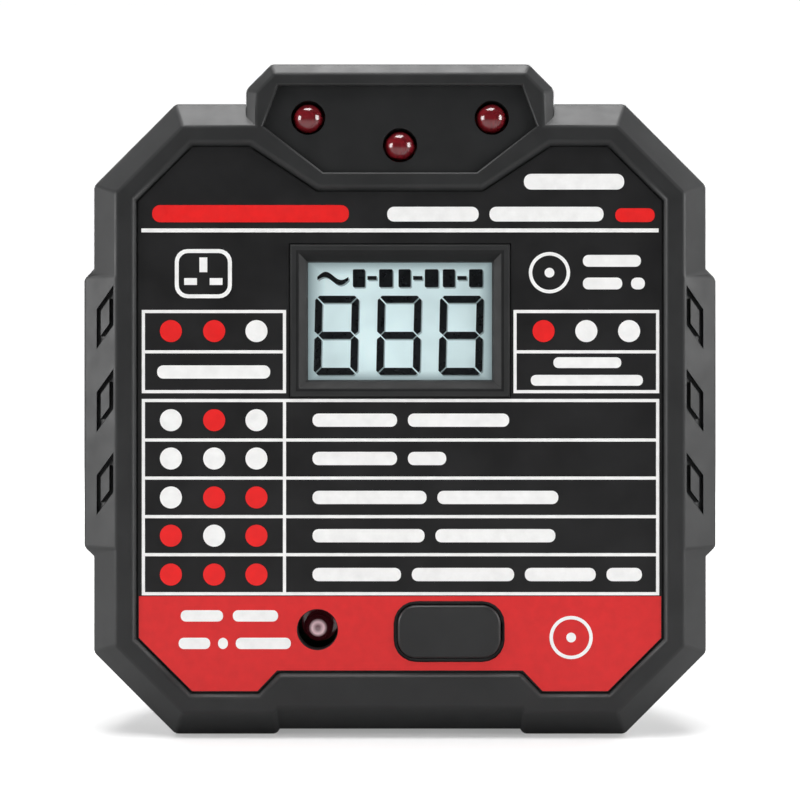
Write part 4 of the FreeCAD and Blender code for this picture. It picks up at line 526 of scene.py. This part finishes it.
def rounded_skin(node, width, toward, least=-0.35):
    """Copy of a CAD node whose outside edges are rounded to a width."""
    mesh = clean_copy(node)
    free = outward(mesh)
    sharp, fine = [], []
    for edge in mesh.edges:
        if not edge.is_manifold or not edge.is_convex:
            continue
        if edge.calc_face_angle(0) > CURVED and edge.calc_length() > SHORTEST_EDGE * MM:
            if in_grip(edge):
                fine.append(edge)
            elif free(edge, toward, least):
                sharp.append(edge)
    strips = set(round_off(mesh, sharp, width))
    strips.update(round_off(mesh, [edge for edge in fine if edge.is_valid], GRIP_ROUNDING, 2))
    mesh.faces.ensure_lookup_table()
    mesh.faces.index_update()
    mesh.normal_update()
    for edge in mesh.edges:
        if not edge.is_manifold:
            edge.smooth = False
            continue
        angle = edge.calc_face_angle(0)
        in_strip = any(face in strips for face in edge.link_faces)
        edge.smooth = angle < (STRIP_CURVED if in_strip else CURVED)
    count = 0
    for face in mesh.faces:
        face.smooth = True
        for loop in face.loops:
            loop.index = count
            count += 1
    normals = corner_normals(mesh)
    data = bpy.data.meshes.new(f"{node}_skin")
    mesh.to_mesh(data)
    mesh.free()
    data.normals_split_custom_set([tuple(normal) for normal in normals])
    stand_in(node, f"{node}_skin", data)
    if node == "front_cover":
        data.materials.append(HEAD_FACE)
        data.materials.append(FRAME_PAINTED_SHADE)
        # The slopes round the display take a darker painted shade.
        for face in data.polygons:
            face.material_index = 1 if on_head_face(face) else 2 * on_frame_slope(face)


# ------------------------------------------------------------- flat print


CORNER_STEPS = 5


def around(x, z, radius, angle):
    """Point at an angle in degrees on a circle."""
    angle = math.radians(angle)
    return (x + radius * math.cos(angle), z + radius * math.sin(angle))


def circle(x, z, radius, count=40):
    """Outline of a round dot or hole."""
    return [around(x, z, radius, 360 * i / count) for i in range(count)]


def bar(x0, z0, x1, z1, radius=0.0):
    """Rectangle, its corners rounded by a radius."""
    if not radius:
        return [(x0, z0), (x1, z0), (x1, z1), (x0, z1)]
    points = []
    corners = ((x1, z0, -90), (x1, z1, 0), (x0, z1, 90), (x0, z0, 180))
    for x, z, start in corners:
        centre_x = x + (-radius if x == x1 else radius)
        centre_z = z + (-radius if z == z1 else radius)
        for i in range(CORNER_STEPS + 1):
            points.append(around(centre_x, centre_z, radius, start + 90 * i / CORNER_STEPS))
    return points


def centred_bar(x, z, width, height):
    """Square-cornered rectangle about its middle."""
    return bar(x - width / 2, z - height / 2, x + width / 2, z + height / 2)


def ring_mark(x, z, radius, line=0.35, dot=0.5):
    """Ring with a dot in its middle."""
    return [circle(x, z, radius), circle(x, z, radius - line), circle(x, z, dot, 16)]


def plates(name, outlines, front, thickness, material):
    """Thin upright plate filled between outlines; an outline inside another is a hole."""
    drawing = bpy.data.curves.new(name, "CURVE")
    drawing.dimensions = "2D"
    drawing.fill_mode = "BOTH"
    drawing.extrude = thickness * MM / 2
    for outline in outlines:
        spline = drawing.splines.new("POLY")
        spline.points.add(len(outline) - 1)
        for point, (x, z) in zip(spline.points, outline):
            point.co = (x * MM, z * MM, 0, 1)
        spline.use_cyclic_u = True
    source = bpy.data.objects.new(f"{name}_drawing", drawing)
    bpy.context.scene.collection.objects.link(source)
    bpy.context.view_layer.update()
    graph = bpy.context.evaluated_depsgraph_get()
    data = bpy.data.meshes.new_from_object(source.evaluated_get(graph))
    bpy.data.objects.remove(source)
    data.name = name
    lift = Matrix.Translation((0, (front + thickness / 2) * MM, 0))
    data.transform(lift @ Matrix.Rotation(math.radians(90), 4, "X"))
    mesh = bmesh.new()
    mesh.from_mesh(data)
    bmesh.ops.remove_doubles(mesh, verts=mesh.verts, dist=0.001 * MM)
    bmesh.ops.recalc_face_normals(mesh, faces=mesh.faces)
    mesh.to_mesh(data)
    mesh.free()
    case_piece(name, data, material)


LABEL_Y = -35.8
INK = 0.03
RULE = 0.32
DOT = 1.12
TABLE_LEFT, TABLE_COLUMN, TABLE_RIGHT = -26.1, -11.75, 26.2
TABLE_LINES = (0.5, -3.52, -7.39, -11.31, -15.18, -19.15)
BOX_LEFT = 11.7
BOX_LINES = (9.55, 5.45, 1.4)
BOX_ROW = 7.56
LEFT_DOTS = (-23.3, -18.9, -14.6)
RIGHT_DOTS = (14.6, 18.95, 23.3)
CAPTION_LEFT = -8.9
# Middle of each table row, its dots (red or white) and the lengths of its words.
TABLE_ROWS = (
    (-1.5, "WRW", (8.6, 10.3)),
    (-5.4, "WWW", (8.6, 3.9)),
    (-9.36, "WRR", (11.6, 12.3)),
    (-13.25, "RWR", (11.4, 12.2)),
    (-17.2, "RRR", (9.0, 10.4, 7.2, 3.6)),
)
# Right half of the red band's outline, from the bottom middle up.
BAND_RIGHT = ((12.5, -26.95), (14.5, -29.05), (21.14, -29.05), (26.55, -23.64), (26.55, -19.4))
BUTTON_HOLE = (-0.65, -26.1, 10.65, -19.9)


def words(left, middle, *widths, gap=1.1, height=1.35):
    """Rounded bars that stand for the words of a caption."""
    bars = []
    low, high = middle - height / 2, middle + height / 2
    for width in widths:
        bars.append(bar(left, low, left + width, high, height / 2.2))
        left += width + gap
    return bars


def ruled_box(x0, x1, lines, divider=None):
    """Box with ruled rows: an outer outline and one hole for each cell."""
    top, bottom = max(lines), min(lines)
    half = RULE / 2
    outlines = [bar(x0 - half, bottom - half, x1 + half, top + half)]
    columns = [(x0, x1)] if divider is None else [(x0, divider), (divider, x1)]
    levels = sorted(lines)
    for low, high in zip(levels, levels[1:]):
        for left, right in columns:
            outlines.append(bar(left + half, low + half, right - half, high - half))
    return outlines


def table_dots():
    """Outlines of the white and of the red dots of every row."""
    rows = [(LEFT_DOTS, BOX_ROW, "RRW"), (RIGHT_DOTS, BOX_ROW, "RWW")]
    rows += [(LEFT_DOTS, z, colours) for z, colours, _ in TABLE_ROWS]
    dots = {"R": [], "W": []}
    for places, z, colours in rows:
        for x, colour in zip(places, colours):
            dots[colour].append(circle(x, z, DOT))
    return dots["W"], dots["R"]


def build_print():
    """Ruled tables, coloured dots and caption bars of the label."""
    white, red = table_dots()
    white.append(bar(-26.3, 17.6, 26.3, 18.0))
    white += ruled_box(TABLE_LEFT, TABLE_COLUMN, BOX_LINES)
    white += ruled_box(BOX_LEFT, TABLE_RIGHT, BOX_LINES)
    white += ruled_box(TABLE_LEFT, TABLE_RIGHT, TABLE_LINES, divider=TABLE_COLUMN)
    white += words(-24.7, 3.4, 11.5)
    white += words(15.6, 4.35, 6.9, height=1.1)
    white += words(13.3, 2.55, 11.4, height=1.1)
    for z, _, widths in TABLE_ROWS:
        white += words(CAPTION_LEFT, z, *widths)
    white += words(-1.3, 19.45, 9.3, 11.6, height=1.5)
    white += words(12.6, 22.75, 10.2, height=1.6)
    white += words(18.6, 14.7, 5.9, height=1.2)
    white += words(18.6, 12.4, 4.0, 1.4, gap=0.9, height=1.2)
    white += ring_mark(15.2, 13.5, 2.1)
    # Socket: a rounded frame, an upright slot and two level ones.
    white += [bar(-22.9, 10.9, -17.1, 15.9, 1.3), bar(-22.5, 11.3, -17.5, 15.5, 0.95)]
    white.append(centred_bar(-20, 14.3, 0.8, 1.5))
    white += [centred_bar(x, 12.6, 1.3, 0.7) for x in (-21.3, -18.7)]
    plates("print_white", white, LABEL_Y - INK, INK, WHITE)

    red += words(-25.2, 19.5, 20.0, height=1.75)
    red += words(21.9, 19.35, 4.0, height=1.4)
    plates("print_red", red, LABEL_Y - INK, INK, RED)

    outline = [(-x, z) for x, z in reversed(BAND_RIGHT)] + list(BAND_RIGHT)
    band = [outline, bar(*BUTTON_HOLE, 2.3), circle(FAULT_LAMP_X, FAULT_LAMP_Z, 2.1)]
    plates("print_band", band, LABEL_Y - INK, INK, BAND)
    notes = words(-22.3, -21.4, 4.3, 4.6, gap=1.0, height=1.15)
    notes += words(-22.5, -24.2, 3.2, 1.0, 5.6, gap=0.8, height=1.15)
    notes += ring_mark(17.4, -23.6, 2.2)
    plates("print_notes", notes, LABEL_Y - 2 * INK, INK, WHITE)


DIGITS_X = (-6.55, -0.12, 6.28)
MARKS_X = (-4.85, -0.15, 4.4)
MARK_FOOT, MARK_TOP = 12.15, 14.0


def digit_segments(centre_x, centre_z=7.2, width=4.5, height=8.15, stroke=0.74, slant=0.022):
    """Seven bevelled bars of a digit with every bar shown."""
    half_w, half_h = width / 2, height / 2
    gap = 0.10
    nip = 0.34

    def level(z):
        inner = stroke / 2
        x0, x1 = -half_w + gap, half_w - gap
        if z == 0:
            return [
                (x0 + inner * 0.9, 0.0),
                (x0 + inner * 1.9, inner),
                (x1 - inner * 1.9, inner),
                (x1 - inner * 0.9, 0.0),
                (x1 - inner * 1.9, -inner),
                (x0 + inner * 1.9, -inner),
            ]
        sign = 1 if z > 0 else -1
        return [
            (x0 + nip, sign * half_h),
            (x1 - nip, sign * half_h),
            (x1 - nip / 2, sign * (half_h - nip / 2)),
            (x1 - stroke, sign * (half_h - stroke)),
            (x0 + stroke, sign * (half_h - stroke)),
            (x0 + nip / 2, sign * (half_h - nip / 2)),
        ]

    def upright(side, sign):
        outer, inner = side * half_w, side * (half_w - stroke)
        return [
            (outer, sign * (half_h - nip - gap)),
            (outer - side * nip / 2, sign * (half_h - nip / 2 - gap)),
            (inner, sign * (half_h - stroke - gap)),
            (inner, sign * (stroke / 2 + gap)),
            (outer - side * stroke / 2, sign * gap),
            (outer, sign * (gap + stroke * 0.4)),
        ]

    shapes = [level(1), level(0), level(-1)]
    shapes += [upright(side, sign) for side in (1, -1) for sign in (1, -1)]
    return [[(centre_x + x + slant * z, centre_z + z) for x, z in shape] for shape in shapes]


def wave_stroke(x0, x1, z, swing, stroke, count=18):
    """Tilde drawn as one closed outline."""
    upper, lower = [], []
    for i in range(count + 1):
        share = i / count
        x = x0 + (x1 - x0) * share
        middle = z + swing * math.sin(2 * math.pi * share)
        half = stroke / 2 * (0.55 + 0.45 * math.sin(math.pi * share))
        upper.append((x, middle + half))
        lower.append((x, middle - half))
    return upper + lower[::-1]


def build_display_marks():
    """Digits and the row of marks above them, with the shadow they cast in the cell."""
    cell_low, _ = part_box("lcd_glass")
    front = cell_low.y / MM
    shapes = []
    for x in DIGITS_X:
        shapes += digit_segments(x)
    shapes.append(wave_stroke(-8.5, -5.3, 13.05, 0.42, 0.62))
    for x in MARKS_X:
        shapes.append(bar(x, MARK_FOOT, x + 1.25, MARK_TOP, 0.15))
        shapes.append(bar(x + 1.5, 12.9, x + 2.45, 13.3))
        shapes.append(bar(x + 2.7, MARK_FOOT, x + 4.1, MARK_TOP, 0.15))
    shadow = [[(x + 0.12, z - 0.14) for x, z in shape] for shape in shapes]
    plates("display_shadow", shadow, front - 0.008, 0.006, GHOST)
    plates("display_marks", shapes, front - 0.022, 0.012, SEGMENT)


build_print()
build_display_marks()


# ------------------------------------------------------------- lamp insides


CUP_SIDES = 24
CUP_OFFSET = -0.3
# Radius and depth behind the lens tip, round the cup's section.
CUP = ((0.0, 2.5), (0.62, 2.5), (0.62, 2.0), (0.40, 2.35), (0.0, 2.35))


def add_post(mesh, x, z, width, height, front, back):
    """Upright lead frame post inside a lens."""
    for vertex in bmesh.ops.create_cube(mesh, size=1.0)["verts"]:
        vertex.co.x = (x + (-width if vertex.co.x < 0 else width) / 2) * MM
        vertex.co.y = (front if vertex.co.y < 0 else back) * MM
        vertex.co.z = (z + (-height if vertex.co.z < 0 else height) / 2) * MM


def build_lamp_core(node):
    """Reflector cup on its post and the thinner post beside it, inside the lens."""
    low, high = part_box(node)
    x, z = (low.x + high.x) / 2 / MM, (low.z + high.z) / 2 / MM
    tip, back = low.y / MM, high.y / MM - 0.2
    mesh = bmesh.new()
    add_post(mesh, x - 0.35, z, 0.9, 0.5, tip + 2.4, back)
    add_post(mesh, x + 0.75, z, 0.4, 0.4, tip + 2.1, back)
    rings = []
    for radius, depth in CUP:
        ring = []
        for i in range(CUP_SIDES):
            place_x, place_z = around(x + CUP_OFFSET, z, radius, 360 * i / CUP_SIDES)
            ring.append(mesh.verts.new(Vector((place_x, tip + depth, place_z)) * MM))
        rings.append(ring)
    for outer, inner in zip(rings, rings[1:]):
        for i in range(CUP_SIDES):
            j = (i + 1) % CUP_SIDES
            mesh.faces.new((outer[i], outer[j], inner[j], inner[i]))
    bmesh.ops.remove_doubles(mesh, verts=mesh.verts, dist=0.005 * MM)
    bmesh.ops.recalc_face_normals(mesh, faces=mesh.faces)
    data = bpy.data.meshes.new(f"{node}_core")
    mesh.to_mesh(data)
    mesh.free()
    case_piece(f"{node}_core", data, TIN)


for lamp in LAMPS:
    build_lamp_core(lamp)


# ------------------------------------------------------------ switch dome


def build_dome():
    """Sprung dome of the switch: a cleaned copy that stands in for the CAD node."""
    data = NODES["switch_dome"].data.copy()
    mesh = bmesh.new()
    mesh.from_mesh(data)
    bmesh.ops.remove_doubles(mesh, verts=mesh.verts, dist=WELD * MM)
    bmesh.ops.dissolve_degenerate(mesh, edges=mesh.edges, dist=WELD * MM)
    mesh.to_mesh(data)
    mesh.free()
    dome = stand_in("switch_dome", "dome_spring", data)
    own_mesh(dome)


build_dome()


# ---------------------------------------------------------- rounded shells


FORWARD, BACKWARD = -1, 1
rounded_skin("front_cover", 0.28, FORWARD)
rounded_skin("rear_housing", 0.28, BACKWARD)
rounded_skin("pin_carrier", 0.15, BACKWARD, least=0.2)
for pin in ("live_pin", "neutral_pin", "earth_pin"):
    rounded_skin(pin, 0.16, BACKWARD, least=-0.2)


# -------------------------------------------------------------------- stage


FLOOR_SIDES = 96
# Radius and height of the floor's rings, from the flat part out to the backdrop.
FLOOR = ((500, 0), (800, 6), (1000, 60), (1150, 220), (1220, 500), (1240, 1500))


def build_stage():
    """Pale floor that rises into a round backdrop."""
    floor_z = cad_low.z / MM
    mesh = bmesh.new()
    middle = mesh.verts.new((0, 0, floor_z * MM))
    rings = []
    for radius, height in FLOOR:
        ring = []
        for i in range(FLOOR_SIDES):
            x, y = around(0, 0, radius, 360 * i / FLOOR_SIDES)
            ring.append(mesh.verts.new(Vector((x, y, floor_z + height)) * MM))
        rings.append(ring)
    for i in range(FLOOR_SIDES):
        j = (i + 1) % FLOOR_SIDES
        mesh.faces.new((middle, rings[0][i], rings[0][j]))
        for inner, outer in zip(rings, rings[1:]):
            mesh.faces.new((inner[i], outer[i], outer[j], inner[j]))
    for face in mesh.faces:
        face.smooth = True
    data = bpy.data.meshes.new("floor")
    mesh.to_mesh(data)
    mesh.free()
    link("floor", data, studio_surface())


def studio_surface():
    """Matte paper, evenly pale, that throws little light back and is clear from below."""
    shader = Shader("floor_pale", (0.80, 0.80, 0.80), 0.6)
    tone = shader.vary((0.62, 0.62, 0.62), 8.0, 0.01)
    length = shader.add("ShaderNodeVectorMath", {0: shader.coords}, operation="LENGTH")
    away = length.outputs["Value"]
    strength = shader.remap(away, 0.28, 0.90, 0.08, 0.70)
    emission = shader.add("ShaderNodeEmission", {"Color": WHITE_LIGHT, "Strength": strength})
    glow = emission.outputs[0]
    paper = shader.add("ShaderNodeBsdfDiffuse", {"Color": tone}).outputs[0]
    above = shader.add("ShaderNodeAddShader", {0: glow, 1: paper}).outputs[0]
    below = shader.add("ShaderNodeBsdfTransparent", {"Color": WHITE_LIGHT}).outputs[0]
    under = shader.add("ShaderNodeNewGeometry").outputs["Backfacing"]
    seen = shader.add("ShaderNodeMixShader", {0: under, 1: above, 2: below}).outputs[0]
    bounce = shader.remap(away, 0.50, 0.20, 0.12, 0.45)
    dim = shader.add("ShaderNodeBsdfDiffuse", {"Color": bounce}).outputs[0]
    eye = shader.add("ShaderNodeLightPath").outputs["Is Camera Ray"]
    shader.show(shader.add("ShaderNodeMixShader", {0: eye, 1: dim, 2: seen}).outputs[0])
    return shader.material


# Name, place, aim, width and height, watts.
LIGHTS = (
    ("key_top", (-10, -40, 420), (0, -20, 0), (290, 380), 2.95),
    ("fill_left", (-450, -160, 60), (0, -20, 0), (260, 220), 1.65),
    ("fill_right", (440, -180, 90), (0, -20, 0), (240, 240), 1.65),
    ("back_left", (-300, 380, 220), (0, 0, 0), (260, 260), 2.2),
    ("back_right", (330, 330, 180), (0, 0, 0), (260, 260), 2.2),
)
SKY_STRENGTH = 0.15


def area_light(name, place, target, size, power):
    """Soft rectangular light aimed at a point."""
    data = bpy.data.lights.new(name, "AREA")
    data.shape = "RECTANGLE"
    data.size, data.size_y = (side * MM for side in size)
    data.energy = power
    lamp = bpy.data.objects.new(name, data)
    lamp.location = Vector(place) * MM
    aim = (Vector(target) - Vector(place)).normalized()
    lamp.rotation_euler = aim.to_track_quat("-Z", "Y").to_euler()
    bpy.context.scene.collection.objects.link(lamp)


def build_lights():
    """Studio lights, an even pale sky and an unaltered view transform."""
    for light in LIGHTS:
        area_light(*light)
    world = bpy.data.worlds.new("studio")
    world.use_nodes = True
    sky = world.node_tree.nodes["Background"]
    sky.inputs["Color"].default_value = WHITE_LIGHT
    sky.inputs["Strength"].default_value = SKY_STRENGTH
    bpy.context.scene.world = world
    bpy.context.scene.view_settings.view_transform = "Standard"


def build_camera():
    """Square-on view of the front from a hand's length away."""
    data = bpy.data.cameras.new("camera")
    data.sensor_width = 36.0
    data.lens = 73.0
    data.clip_start = 0.01
    data.clip_end = 10.0
    camera = bpy.data.objects.new("camera", data)
    camera.location = Vector((0.0, -201.0, 0.5)) * MM
    camera.rotation_euler = (math.radians(90), 0, 0)
    bpy.context.scene.collection.objects.link(camera)
    bpy.context.scene.camera = camera


build_stage()
build_lights()
build_camera()
